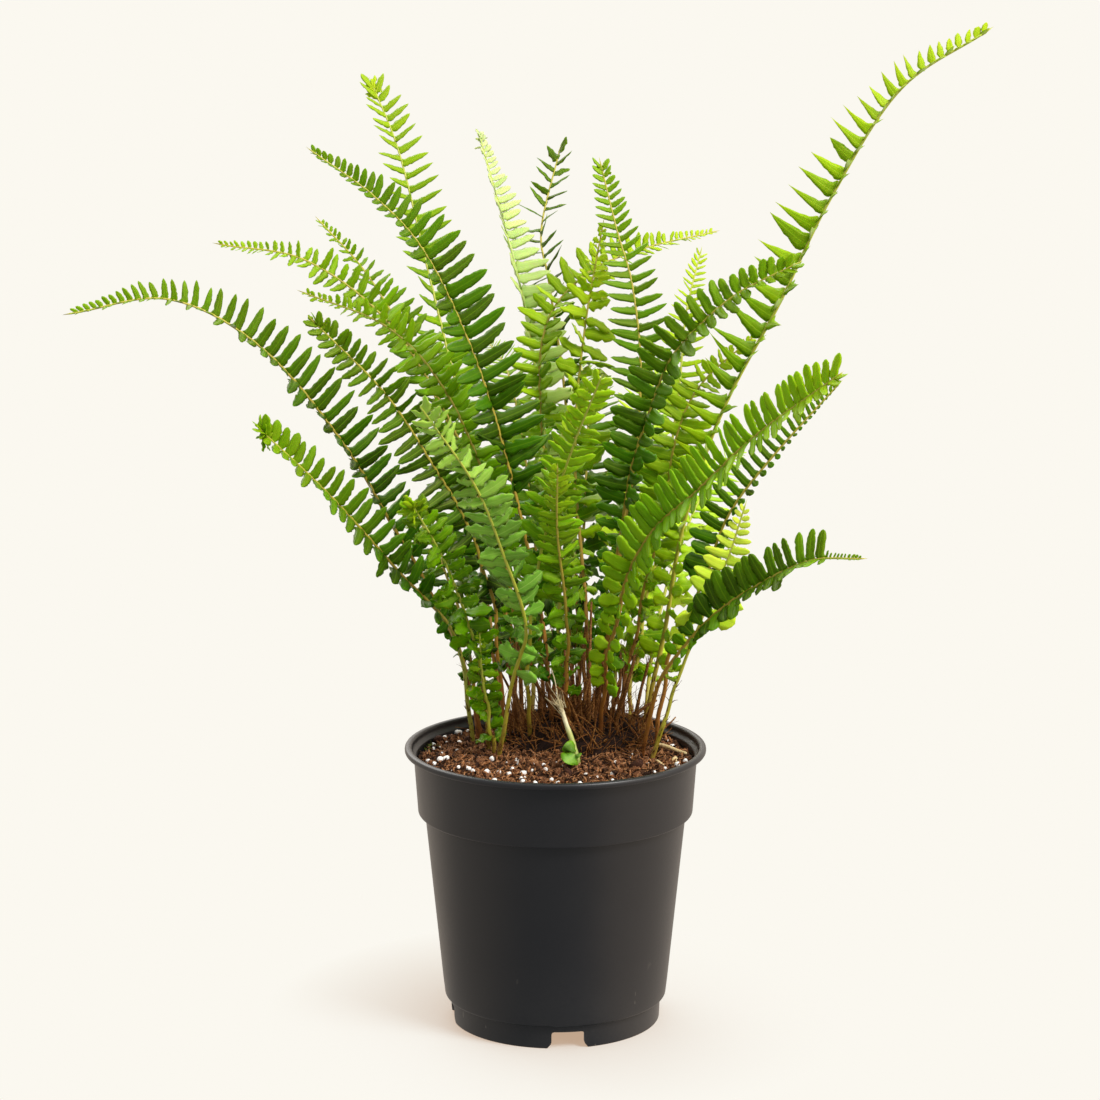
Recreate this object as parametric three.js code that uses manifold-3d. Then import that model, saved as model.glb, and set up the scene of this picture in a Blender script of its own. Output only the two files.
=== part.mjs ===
// A Boston fern in its 6 inch nursery pot.
// Millimetres, +Z up. The origin is on the ground under the pot's centre, and the front is -Y.

import * as THREE from 'three';
import { mergeVertices } from 'three/addons/utils/BufferGeometryUtils.js';
import Module from 'manifold-3d';

const wasm = await Module();
wasm.setup();

// Driving dimensions

const GAP = 0.3;

const RIM_RADIUS = 76;
const POT_HEIGHT = 142.3;
const LIP_BOTTOM = 139.2;
const BAND_TOP_RADIUS = 71.6;
const BAND_BOTTOM_RADIUS = 69.4;
const BAND_BOTTOM = 108.3;
const BODY_TOP_RADIUS = 66;
const BODY_BOTTOM_RADIUS = 56.6;
const FOOT_RADIUS = 53.1;
const FOOT_HEIGHT = 12.4;
const FLOOR_UNDERSIDE = 9.4;
const WALL = 1.6;
const POST_RADIUS = 7;
const POT_SIDES = 36;

const NOTCH_WIDTH = 16.4;
const NOTCH_HEIGHT = 8.7;
const NOTCH_COUNT = 4;
const NOTCH_TURN = 6.7;
const DRAIN_COUNT = 6;
const DRAIN_RADIUS = 4.5;
const DRAIN_CIRCLE = 33;

const SOIL_LEVEL = 134.5;
const ROOT_DEPTH = 128;

const CROWN_X = 14;
const CROWN_Y = 29;
const CROWN_LONG = 40;
const CROWN_SHORT = 31;
const CROWN_RISE = 15;
const CROWN_BOTTOM = 126;
const CROWN_SIDES = 28;

const STIPE_HALF = 1.25;
const RACHIS_TIP_HALF = 0.42;
const RACHIS_FLATTENING = 0.9;
const COLLAR_RISE = 3;
const POINT_LENGTH = 2;

// A leaflet's outline beyond the rachis: how far out its shoulder and its tip lie, as a share
// of its length, and how far along, as a share of the way to the next pair.
const LEAF_TIP_HALF = 0.38;
const SHOULDER = [0.8, 0.06];
const TIP = [1, 0.54];
const FORWARD_LEAN = 0.08;

// The eye that the fronds' routes are drawn from, in front of the pot and above it.
const EYE = new THREE.Vector3(-2.7, -1617, 568);

// The fronds.
// root: where the stalk stands in the soil, x and y.
// route: the rachis above the soil as it shows from the front, x and z on the upright plane
// through the pot's axis, from low to high.
// tip: how far behind that plane the tip lies.
// turn: how far the blade is turned about its rachis from facing the eye, in degrees, more
// than 0 where the row on its right shows in full. fold: how far the two rows rise out of the
// blade's plane towards each other. leaf: the longest leaflet. pairs: its leaflets.
// end: the last leaflets as a share of the longest, where the tip is blunt.
// bare: the share of the length that has no leaflets. tone: how ripe its green is.

const FRONDS = {
  frond_far_left_arch: {
    tone: 'deep',
    root: [-38, 30], tip: -15, leaf: 19, pairs: 23, bare: 0.2, fold: 42, turn: 43,
    route: [[-50, 196], [-77, 247], [-107, 299], [-146, 345], [-190, 368], [-238, 361]],
  },
  frond_low_left: {
    tone: 'young',
    root: [-42, 16], tip: -60, leaf: 14, pairs: 16, end: 0.42, bare: 0.24, fold: 38, turn: 38,
    route: [[-50, 197], [-78, 231], [-112, 270], [-146, 303]],
  },
  frond_left_high: {
    tone: 'mid',
    root: [-20, 38], tip: 70, leaf: 15, pairs: 19, bare: 0.3, fold: 28, turn: 28,
    route: [[-25, 207], [-42, 283], [-77, 350], [-120, 386], [-164, 395]],
  },
  frond_left_hooked: {
    tone: 'mid',
    root: [-24, 42], tip: 95, leaf: 16, pairs: 17, bare: 0.3, fold: 30, turn: 28,
    route: [[-20, 191], [-42, 278], [-72, 345], [-93, 381], [-115, 406]],
  },
  frond_tall_left: {
    tone: 'deep',
    root: [-2, 22], tip: 0, leaf: 23, pairs: 21, bare: 0.24, fold: 38, turn: 38,
    route: [[-7, 207], [-24, 288], [-42, 345], [-64, 391], [-88, 418], [-118, 440]],
  },
  frond_tall_left_back: {
    tone: 'young',
    root: [-12, 50], tip: 165, leaf: 20, pairs: 19, end: 0.5, bare: 0.3, fold: 34, turn: 26,
    route: [[-13, 191], [-35, 278], [-50, 330], [-62, 380], [-76, 439], [-89, 473]],
  },
  frond_left_middle: {
    tone: 'mid',
    root: [-17, 28], tip: 35, leaf: 16, pairs: 17, bare: 0.28, fold: 30, turn: 26,
    route: [[-20, 207], [-37, 283], [-58, 328], [-84, 355], [-123, 371]],
  },
  frond_left_dark: {
    tone: 'deep',
    root: [-27, 20], tip: -25, leaf: 18, pairs: 17, end: 0.4, bare: 0.24, fold: 26, turn: 8,
    route: [[-30, 207], [-43, 253], [-60, 284], [-84, 321], [-119, 357]],
  },
  frond_pale_back: {
    tone: 'pale',
    root: [2, 48], tip: 188, leaf: 20, pairs: 17, bare: 0.3, fold: 40, turn: 46,
    route: [[2, 207], [0, 258], [-7, 313], [-16, 368], [-26, 408], [-37, 448]],
  },
  frond_narrow_back: {
    tone: 'deep',
    root: [12, 52], tip: 220, leaf: 15, pairs: 11, end: 0.6, bare: 0.36, fold: 26, turn: -22,
    route: [[12, 207], [7, 265], [5, 318], [-3, 375], [-7, 402], [2, 441]],
  },
  frond_tall_middle: {
    tone: 'mid',
    root: [22, 38], tip: 112, leaf: 17, pairs: 19, end: 0.34, bare: 0.28, fold: 22, turn: 8,
    route: [[28, 215], [37, 270], [42, 328], [38, 373], [30, 402], [22, 434]],
  },
  frond_back_arch: {
    tone: 'young',
    root: [9, 58], tip: 156, leaf: 15, pairs: 17, end: 0.4, bare: 0.34, fold: 34, turn: -30,
    route: [[6, 215], [-6, 293], [-6, 350], [12, 378], [40, 392], [77, 401]],
  },
  frond_middle_back: {
    tone: 'mid',
    root: [17, 44], tip: 105, leaf: 18, pairs: 16, bare: 0.3, fold: 26, turn: 10,
    route: [[16, 207], [11, 258], [10, 308], [15, 358], [23, 404]],
  },
  frond_right_back: {
    tone: 'young',
    root: [38, 52], tip: 160, leaf: 13, pairs: 16, end: 0.34, bare: 0.34, fold: 24, turn: 0,
    route: [[43, 200], [54, 270], [61, 323], [64, 360], [71, 391]],
  },
  frond_far_right_tall: {
    tone: 'mid',
    root: [46, 34], tip: 50, leaf: 24, pairs: 24, end: 0.34, bare: 0.24, fold: 46, turn: -47,
    route: [[52, 190], [66, 262], [85, 318], [110, 366], [134, 417], [167, 470], [208, 498]],
  },
  frond_right_arch: {
    tone: 'deep',
    root: [25, 30], tip: -10, leaf: 18, pairs: 19, end: 0.4, bare: 0.26, fold: 35, turn: -32,
    route: [[27, 210], [36, 275], [52, 328], [64, 348], [88, 370], [117, 385]],
  },
  frond_right_middle: {
    tone: 'mid',
    root: [32, 44], tip: 60, leaf: 17, pairs: 16, bare: 0.3, fold: 26, turn: -10,
    route: [[40, 200], [52, 255], [60, 300], [72, 326], [97, 349]],
  },
  frond_right_front: {
    tone: 'mid',
    root: [23, 12], tip: -120, leaf: 17, pairs: 20, end: 0.7, bare: 0.2, fold: 34, turn: -38,
    route: [[27, 190], [42, 243], [72, 274], [100, 301], [139, 330]],
  },
  frond_right_dark: {
    tone: 'deep',
    root: [51, 13], tip: -8, leaf: 15, pairs: 17, bare: 0.18, fold: 30, turn: -26,
    route: [[57, 185], [74, 226], [86, 260], [108, 290], [139, 325]],
  },
  frond_low_right: {
    tone: 'deep',
    root: [44, 3], tip: -80, leaf: 13, pairs: 14, bare: 0.34, fold: 41, turn: -41,
    route: [[53, 176], [76, 206], [100, 224], [127, 237], [152, 238]],
  },
  frond_pale_right: {
    tone: 'pale',
    root: [49, -6], tip: -16, leaf: 14, pairs: 12, bare: 0.3, fold: 20, turn: 0,
    route: [[58, 165], [67, 191], [76, 214], [86, 238], [94, 264]],
  },
  frond_centre_front: {
    tone: 'young',
    root: [-13, 14], tip: -95, leaf: 15, pairs: 17, end: 0.5, bare: 0.2, fold: -20, turn: 0,
    route: [[-14, 180], [-10, 227], [0, 268], [10, 298], [22, 328]],
  },
  frond_centre_small: {
    tone: 'mid',
    root: [6, 10], tip: -64, leaf: 12, pairs: 13, end: 0.4, bare: 0.26, fold: -16, turn: 0,
    route: [[6, 180], [5, 215], [1, 250], [1, 283]],
  },
  frond_left_front: {
    tone: 'mid',
    root: [-28, -6], tip: -100, leaf: 14, pairs: 14, end: 0.6, bare: 0.3, fold: -20, turn: -6,
    route: [[-20, 180], [-15, 205], [-26, 240], [-40, 275], [-65, 312]],
  },
  frond_young_left: {
    tone: 'mid',
    root: [-34, 12], tip: -40, leaf: 13, pairs: 12, end: 0.6, bare: 0.2, fold: 28, turn: 10,
    route: [[-37, 180], [-46, 212], [-57, 240], [-71, 265]],
  },
  frond_sprout_left: {
    tone: 'mid',
    root: [-31, 4], tip: -8, leaf: 8, pairs: 7, bare: 0.2, fold: 15, turn: 0,
    route: [[-34, 160], [-37, 180], [-38, 200]],
  },
  frond_rear_left: {
    tone: 'deep',
    root: [-28, 52], tip: 180, leaf: 19, pairs: 13, bare: 0.24, fold: 26, turn: 0,
    route: [[-34, 215], [-44, 266], [-56, 300], [-70, 312]],
  },
  frond_rear_middle_left: {
    tone: 'mid',
    root: [-5, 60], tip: 240, leaf: 20, pairs: 14, bare: 0.24, fold: 26, turn: 0,
    route: [[-8, 215], [-14, 282], [-23, 330], [-33, 347]],
  },
  frond_rear_middle: {
    tone: 'deep',
    root: [12, 62], tip: 270, leaf: 20, pairs: 14, bare: 0.24, fold: 26, turn: 0,
    route: [[12, 212], [15, 274], [16, 318], [12, 337]],
  },
  frond_rear_middle_right: {
    tone: 'mid',
    root: [30, 58], tip: 240, leaf: 19, pairs: 14, bare: 0.24, fold: 26, turn: 0,
    route: [[32, 214], [39, 274], [45, 316], [54, 336]],
  },
  frond_rear_right: {
    tone: 'mid',
    root: [46, 48], tip: 176, leaf: 17, pairs: 13, bare: 0.24, fold: 26, turn: 0,
    route: [[50, 200], [62, 244], [76, 276], [92, 292]],
  },
  frond_rear_low_left: {
    tone: 'deep',
    root: [-40, 38], tip: 105, leaf: 16, pairs: 12, bare: 0.24, fold: 26, turn: 0,
    route: [[-44, 196], [-54, 228], [-64, 252], [-77, 262]],
  },
};

// Old stalks whose blades are gone: root as above, end as x, depth y and height z, and half
// the thickness. The pale one is broken off and has one small leaf at its foot.

const STALKS = {
  stalk_old_front: { root: [14, 16], end: [17, 12, 176], half: 1.1 },
  stalk_old_right: { root: [31, 20], end: [40, 18, 184], half: 1.2 },
  stalk_old_far_right: { root: [40, 27], end: [47, 26, 178], half: 1 },
  stalk_old_middle: { root: [18, 31], end: [14, 34, 186], half: 1.2 },
  stalk_old_left: { root: [0, 30], end: [-5, 30, 172], half: 1 },
  stalk_old_back: { root: [30, 37], end: [33, 42, 180], half: 1.1 },
  stalk_broken_pale: { root: [11, -17], end: [1, -8, 167], half: 1.1, leaf: 7 },
};

// Surfaces

// How high the soil lies at a point: nearly level, with lumps a few millimetres high.
function soilTop(x, y) {
  const lumps = 1.1 * Math.sin(0.21 * x + 1.3) * Math.cos(0.19 * y + 0.4);
  const crumbs = 0.8 * Math.sin(0.37 * x + 0.29 * y) + 0.5 * Math.cos(0.53 * y - 0.23 * x + 2);
  const middle = Math.max(0, 1 - Math.hypot(x, y) / 70);
  return SOIL_LEVEL + lumps + crumbs + 3 * middle;
}

// How far a point is from the crown's middle, as a share of the way to its ragged edge.
function crownReach(x, y) {
  const dx = (x - CROWN_X) / CROWN_LONG;
  const dy = (y - CROWN_Y) / CROWN_SHORT;
  return Math.hypot(dx, dy) / crownEdge(Math.atan2(dy, dx));
}

function crownEdge(angle) {
  return 1 + 0.05 * Math.sin(3 * angle + 1) + 0.04 * Math.sin(7 * angle);
}

// The crown's top is a rough mound that meets the soil at its edge.
function crownTop(x, y) {
  const reach = Math.min(1, crownReach(x, y));
  const lumps = 1.4 * Math.sin(0.45 * x) * Math.sin(0.5 * y + 1) + 0.8 * Math.sin(0.9 * x - 0.7 * y);
  return soilTop(x, y) + 1.2 + (CROWN_RISE + lumps) * (1 - reach ** 2);
}

function groundTop(x, y) {
  return crownReach(x, y) < 1 ? crownTop(x, y) : soilTop(x, y);
}

// Solids and booleans

function toSolid(geometry) {
  const bare = new THREE.BufferGeometry();
  bare.setAttribute('position', geometry.getAttribute('position'));
  bare.setIndex(geometry.getIndex());
  const merged = mergeVertices(bare, 1e-4);
  const index = merged.getIndex().array;
  const corners = [];
  for (let i = 0; i < index.length; i += 3) {
    const [a, b, c] = index.slice(i, i + 3);
    if (a !== b && b !== c && c !== a) corners.push(a, b, c);
  }
  return new wasm.Manifold(new wasm.Mesh({
    numProp: 3,
    vertProperties: Float32Array.from(merged.getAttribute('position').array),
    triVerts: Uint32Array.from(corners),
  }));
}

function toGeometry(solid) {
  const mesh = solid.getMesh();
  const geometry = new THREE.BufferGeometry();
  geometry.setAttribute('position', new THREE.BufferAttribute(mesh.vertProperties, 3));
  geometry.setIndex(new THREE.BufferAttribute(mesh.triVerts, 1));
  return geometry;
}

// A skin is gathered face by face. Its corners are shared, so it closes without joining.
class Skin {
  constructor() {
    this.places = [];
    this.corners = [];
  }

  point(place) {
    this.places.push(place.x, place.y, place.z);
    return this.places.length / 3 - 1;
  }

  tri(a, b, c) {
    this.corners.push(a, b, c);
  }

  quad(a, b, c, d) {
    this.corners.push(a, b, c, a, c, d);
  }

  geometry() {
    const geometry = new THREE.BufferGeometry();
    geometry.setAttribute('position', new THREE.Float32BufferAttribute(this.places, 3));
    geometry.setIndex(this.corners);
    return geometry;
  }
}

// A closed skin through rows of points that run round +Z, from a bottom pole to a top one.
function skinOfRows(bottom, rows, top) {
  const skin = new Skin();
  const first = skin.point(bottom);
  const rings = rows.map((row) => row.map((place) => skin.point(place)));
  const last = skin.point(top);
  const count = rings[0].length;
  for (let i = 0; i < count; i += 1) {
    const j = (i + 1) % count;
    skin.tri(first, rings[0][j], rings[0][i]);
    for (let k = 1; k < rings.length; k += 1) {
      skin.quad(rings[k - 1][i], rings[k - 1][j], rings[k][j], rings[k][i]);
    }
    skin.tri(rings.at(-1)[i], rings.at(-1)[j], last);
  }
  return skin.geometry();
}

// Stems and fronds

const UP = new THREE.Vector3(0, 0, 1);
const FRONT = new THREE.Vector3(0, -1, 0.2);

// The point seen from the eye through x and z on the plane through the pot's axis, at depth y.
function behind(x, z, y) {
  const point = new THREE.Vector3(x, 0, z).sub(EYE);
  return point.multiplyScalar((y - EYE.y) / -EYE.y).add(EYE);
}

// One ring of a stem: its place, its way on, and the directions to its side and its face.
// The face looks to the front, then turns about the stem by some degrees.
function ring(place, tangent, turn, half) {
  const normal = FRONT.clone().addScaledVector(tangent, -FRONT.dot(tangent)).normalize();
  normal.applyAxisAngle(tangent, THREE.MathUtils.degToRad(turn));
  const side = new THREE.Vector3().crossVectors(tangent, normal);
  return { place, tangent, normal, side, half };
}

function ringCorners(skin, at) {
  const corner = (across, out) => skin.point(at.place.clone()
    .addScaledVector(at.side, across * at.half)
    .addScaledVector(at.normal, out * at.half * RACHIS_FLATTENING));
  return [corner(-1, -1), corner(1, -1), corner(1, 1), corner(-1, 1)];
}

// One leaflet on the side face between two rings, cut to the rachis at both ends.
function leaflet(skin, at, next, low, high, sign, length, foldDegrees) {
  const pitch = at.place.distanceTo(next.place);
  const fold = THREE.MathUtils.degToRad(foldDegrees);
  const out = at.side.clone().multiplyScalar(sign * Math.cos(fold))
    .addScaledVector(at.normal, Math.sin(fold))
    .addScaledVector(at.tangent, FORWARD_LEAN)
    .normalize();
  const place = ([reach, along], rise) => skin.point(at.place.clone()
    .addScaledVector(out, at.half + reach * length)
    .addScaledVector(at.tangent, along * pitch)
    .addScaledVector(at.normal, rise * LEAF_TIP_HALF));
  const under = [place(SHOULDER, -1), place(TIP, -1)];
  const over = [place(SHOULDER, 1), place(TIP, 1)];
  const [lowUnder, lowOver] = low;
  const [highUnder, highOver] = high;
  const face = (a, b, c, d) => (sign > 0 ? skin.quad(a, b, c, d) : skin.quad(a, d, c, b));
  face(lowOver, over[0], over[1], highOver);
  if (sign > 0) {
    skin.tri(lowUnder, under[1], under[0]);
    skin.tri(lowUnder, highUnder, under[1]);
  } else {
    skin.tri(lowUnder, under[0], under[1]);
    skin.tri(lowUnder, under[1], highUnder);
  }
  face(lowUnder, under[0], over[0], lowOver);
  face(under[0], under[1], over[1], over[0]);
  face(highUnder, highOver, over[1], under[1]);
}

// A stem with four sides through its rings, drawn out to a point. leafAt gives the length of
// the leaflets after each ring, and fold their rise in degrees.
function stemSkin(rings, leafAt, fold, pointLength) {
  const skin = new Skin();
  const corners = rings.map((at) => ringCorners(skin, at));
  skin.quad(...corners[0]);
  for (let k = 0; k + 1 < rings.length; k += 1) {
    const [a, b, c, d] = corners[k];
    const [e, f, g, h] = corners[k + 1];
    skin.quad(a, e, f, b);
    skin.quad(d, c, g, h);
    const length = leafAt(k);
    if (length > 0) {
      leaflet(skin, rings[k], rings[k + 1], [b, c], [f, g], 1, length, fold);
      leaflet(skin, rings[k], rings[k + 1], [a, d], [e, h], -1, length, fold);
    } else {
      skin.quad(b, f, g, c);
      skin.quad(a, d, h, e);
    }
  }
  const last = rings.at(-1);
  const [a, b, c, d] = corners.at(-1);
  const apex = skin.point(last.place.clone().addScaledVector(last.tangent, pointLength));
  skin.tri(a, apex, b);
  skin.tri(d, c, apex);
  skin.tri(b, apex, c);
  skin.tri(a, d, apex);
  return skin.geometry();
}

// The leaflets are short and round at the foot of the blade, longest in its middle and
// small again towards the tip. share runs from 0 to 1 up the blade.
function leafLength({ leaf, end = 0.14 }, share) {
  const grow = THREE.MathUtils.smoothstep(share, 0, 0.32);
  const fade = THREE.MathUtils.smoothstep(share, 0.5, 1.02);
  return leaf * (0.36 + 0.64 * grow) * (1 - (1 - end) * fade);
}

// How far up the blade its k-th pair stands: the pairs come closer together towards the tip.
function pairShare({ pairs }, k) {
  const climb = k / pairs;
  return climb * (1.5 - 0.5 * climb);
}

// A frond: a straight foot in its hole, a bare stipe, and a blade with two rows of leaflets.
function frondGeometry(frond) {
  const [x, y] = frond.root;
  const foot = new THREE.Vector3(x, y, ROOT_DEPTH + GAP);
  const collar = new THREE.Vector3(x, y, groundTop(x, y) + COLLAR_RISE);
  const count = frond.route.length;
  const above = frond.route.map(([across, up], i) => {
    const share = ((i + 1) / count) ** 1.25;
    return behind(across, up, THREE.MathUtils.lerp(y, frond.tip, share));
  });
  const curve = new THREE.CatmullRomCurve3([collar, ...above], false, 'catmullrom', 0.5);
  const rings = [ring(foot, UP, 0, STIPE_HALF), ring(collar, UP, 0, STIPE_HALF)];
  const bareSteps = 3;
  const halfAt = (share) => THREE.MathUtils.lerp(STIPE_HALF, RACHIS_TIP_HALF, share ** 0.8);
  const add = (wanted) => {
    const share = Math.min(1, wanted);
    const turn = frond.turn * Math.min(1, share / frond.bare);
    rings.push(ring(curve.getPointAt(share), curve.getTangentAt(share), turn, halfAt(share)));
  };
  for (let k = 1; k <= bareSteps; k += 1) add(frond.bare * k / bareSteps);
  for (let k = 1; k <= frond.pairs; k += 1) add(frond.bare + (1 - frond.bare) * pairShare(frond, k));
  const firstPair = bareSteps + 1;
  const leafAt = (k) => (k < firstPair ? 0 : leafLength(frond, pairShare(frond, k - firstPair)));
  return stemSkin(rings, leafAt, frond.fold, POINT_LENGTH);
}

// An old stalk, straight in its hole and leaning above it, snapped off at a short point.
function stalkGeometry({ root: [x, y], end, half, leaf = 0 }) {
  const foot = new THREE.Vector3(x, y, ROOT_DEPTH + GAP);
  const collar = new THREE.Vector3(x, y, groundTop(x, y) + COLLAR_RISE);
  const top = new THREE.Vector3(...end);
  const lean = top.clone().sub(collar).normalize();
  const rings = [ring(foot, UP, 0, half), ring(collar, UP, 0, half)];
  for (const share of [0.2, 0.55, 1]) {
    rings.push(ring(collar.clone().lerp(top, share), lean, 0, half * (1 - 0.3 * share)));
  }
  return stemSkin(rings, (k) => (k === 1 ? leaf : 0), 20, POINT_LENGTH);
}

// The straight hole that a stem stands in, a little wider and deeper than the stem.
function holeSolid([x, y], half) {
  const top = POT_HEIGHT + 40;
  const box = new THREE.BoxGeometry(2 * half + 2 * GAP, 1.8 * half + 2 * GAP, top - ROOT_DEPTH);
  box.translate(x, y, (top + ROOT_DEPTH) / 2);
  return toSolid(box);
}

// Pot: an injection moulding with a rolled lip, a deep band, a tapered body and a foot ring.

function potProfile() {
  const floorTop = FLOOR_UNDERSIDE + WALL + 0.2;
  return [
    [0, 0], [POST_RADIUS, 0], [POST_RADIUS, FLOOR_UNDERSIDE],
    [FOOT_RADIUS - WALL, FLOOR_UNDERSIDE], [FOOT_RADIUS - WALL, 0], [FOOT_RADIUS, 0],
    [FOOT_RADIUS + 0.5, FOOT_HEIGHT - 0.8], [BODY_BOTTOM_RADIUS, FOOT_HEIGHT + 0.8],
    [BODY_TOP_RADIUS, BAND_BOTTOM - 0.3], [BAND_BOTTOM_RADIUS, BAND_BOTTOM],
    [BAND_TOP_RADIUS, LIP_BOTTOM], [RIM_RADIUS - 0.8, LIP_BOTTOM],
    [RIM_RADIUS, LIP_BOTTOM + 1], [RIM_RADIUS, POT_HEIGHT - 1.1],
    [RIM_RADIUS - 1.1, POT_HEIGHT], [RIM_RADIUS - 2.6, POT_HEIGHT],
    [RIM_RADIUS - 3.5, POT_HEIGHT - 1.3], [BAND_TOP_RADIUS - WALL, LIP_BOTTOM - 1.2],
    [BAND_BOTTOM_RADIUS - WALL, BAND_BOTTOM + WALL], [BODY_TOP_RADIUS - WALL, BAND_BOTTOM - 1.1],
    [BODY_BOTTOM_RADIUS - WALL, FOOT_HEIGHT + 2], [FOOT_RADIUS - 1.2, floorTop], [0, floorTop],
  ];
}

function potGeometry() {
  const profile = potProfile().map(([r, z]) => new THREE.Vector2(r, z));
  const lathe = new THREE.LatheGeometry(profile, POT_SIDES).rotateX(Math.PI / 2);
  let pot = toSolid(lathe);
  const half = NOTCH_WIDTH / 2;
  const opening = new THREE.Shape([
    [-half - 3, -1], [half + 3, -1], [half, 2.2], [half, NOTCH_HEIGHT - 1],
    [half - 1, NOTCH_HEIGHT], [1 - half, NOTCH_HEIGHT], [-half, NOTCH_HEIGHT - 1], [-half, 2.2],
  ].map(([x, z]) => new THREE.Vector2(x, z)));
  for (let k = 0; k < NOTCH_COUNT; k += 1) {
    const notch = new THREE.ExtrudeGeometry(opening, { depth: 12, bevelEnabled: false });
    notch.rotateX(Math.PI / 2).translate(0, 6 - FOOT_RADIUS, 0);
    notch.rotateZ(THREE.MathUtils.degToRad(NOTCH_TURN) + k * 2 * Math.PI / NOTCH_COUNT);
    pot = pot.subtract(toSolid(notch));
  }
  for (let k = 0; k < DRAIN_COUNT; k += 1) {
    const drain = new THREE.CylinderGeometry(DRAIN_RADIUS, DRAIN_RADIUS, 3 * WALL, 8);
    drain.rotateX(Math.PI / 2).translate(DRAIN_CIRCLE, 0, FLOOR_UNDERSIDE + WALL / 2);
    drain.rotateZ((k + 0.5) * 2 * Math.PI / DRAIN_COUNT);
    pot = pot.subtract(toSolid(drain));
  }
  return toGeometry(pot);
}

// A row of points round the pot's axis, aligned with the pot's own facets.
function roundRow(radius, heightAt) {
  return Array.from({ length: POT_SIDES }, (_, i) => {
    const angle = 2 * Math.PI * i / POT_SIDES;
    const x = radius * Math.cos(angle);
    const y = radius * Math.sin(angle);
    return new THREE.Vector3(x, y, heightAt(x, y));
  });
}

// Soil: it fills the pot to just under the lip, with a seat for the crown.
function soilGeometry(holes) {
  const bottom = FLOOR_UNDERSIDE + WALL + 0.2 + GAP;
  const wallGap = GAP + 0.05;
  const sides = [
    [FOOT_RADIUS - 1.5, bottom], [BODY_BOTTOM_RADIUS - WALL - wallGap, FOOT_HEIGHT + 2.2],
    [BODY_TOP_RADIUS - WALL - wallGap, BAND_BOTTOM - 1],
    [BAND_BOTTOM_RADIUS - WALL - wallGap, BAND_BOTTOM + 1.9],
  ].map(([radius, z]) => roundRow(radius, () => z));
  const edge = BAND_TOP_RADIUS - WALL - 0.7;
  const tops = [1, 0.88, 0.74, 0.56, 0.36, 0.16].map((share) => roundRow(edge * share, soilTop));
  const middle = new THREE.Vector3(0, 0, soilTop(0, 0));
  const skin = skinOfRows(new THREE.Vector3(0, 0, bottom), [...sides, ...tops], middle);
  const seat = crownRows(GAP * 1.2, CROWN_BOTTOM - GAP, () => POT_HEIGHT + 10);
  const filled = toSolid(skin).subtract(toSolid(seat));
  return toGeometry(holes.reduce((soil, hole) => soil.subtract(hole), filled));
}

// The crown's outline at a share of its reach, spread outwards by a few tenths.
function crownRow(share, spread, heightAt) {
  return Array.from({ length: CROWN_SIDES }, (_, i) => {
    const angle = 2 * Math.PI * i / CROWN_SIDES;
    const reach = share * crownEdge(angle);
    const x = CROWN_X + (reach * CROWN_LONG + spread) * Math.cos(angle);
    const y = CROWN_Y + (reach * CROWN_SHORT + spread) * Math.sin(angle);
    return new THREE.Vector3(x, y, heightAt(x, y));
  });
}

function crownRows(spread, bottom, topAt) {
  const shares = spread > 0 ? [1] : [1, 0.84, 0.6, 0.3];
  const rows = [crownRow(1, spread, () => bottom)];
  for (const share of shares) rows.push(crownRow(share, spread, topAt));
  const low = new THREE.Vector3(CROWN_X, CROWN_Y, bottom);
  return skinOfRows(low, rows, new THREE.Vector3(CROWN_X, CROWN_Y, topAt(CROWN_X, CROWN_Y)));
}

// Crown: the matted brown rootstock that most of the stalks grow from.
function crownGeometry(holes) {
  const crown = toSolid(crownRows(0, CROWN_BOTTOM, crownTop));
  return toGeometry(holes.reduce((left, hole) => left.subtract(hole), crown));
}

// Assembly

const group = new THREE.Group();

function place(name, geometry, color, roughness) {
  const material = new THREE.MeshStandardMaterial({ color, roughness, metalness: 0 });
  const mesh = new THREE.Mesh(geometry, material);
  mesh.name = name;
  group.add(mesh);
}

const GREENS = { deep: 0x35690f, mid: 0x5b9220, young: 0x8fbf3a, pale: 0xb9d67a };
const holes = [
  ...Object.values(FRONDS).map(({ root }) => holeSolid(root, STIPE_HALF)),
  ...Object.values(STALKS).map(({ root, half }) => holeSolid(root, half)),
];

place('pot', potGeometry(), 0x29292b, 0.42);
place('soil', soilGeometry(holes), 0x4b2c18, 0.95);
place('crown', crownGeometry(holes), 0x5e3a1e, 0.9);
for (const [name, frond] of Object.entries(FRONDS)) {
  place(name, frondGeometry(frond), GREENS[frond.tone], 0.5);
}
for (const [name, stalk] of Object.entries(STALKS)) {
  place(name, stalkGeometry(stalk), stalk.leaf ? 0xd9cfa4 : 0x8a5a2c, 0.7);
}

export default group;
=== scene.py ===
# A Boston fern in its nursery pot: the finished surfaces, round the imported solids.

import math

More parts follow.
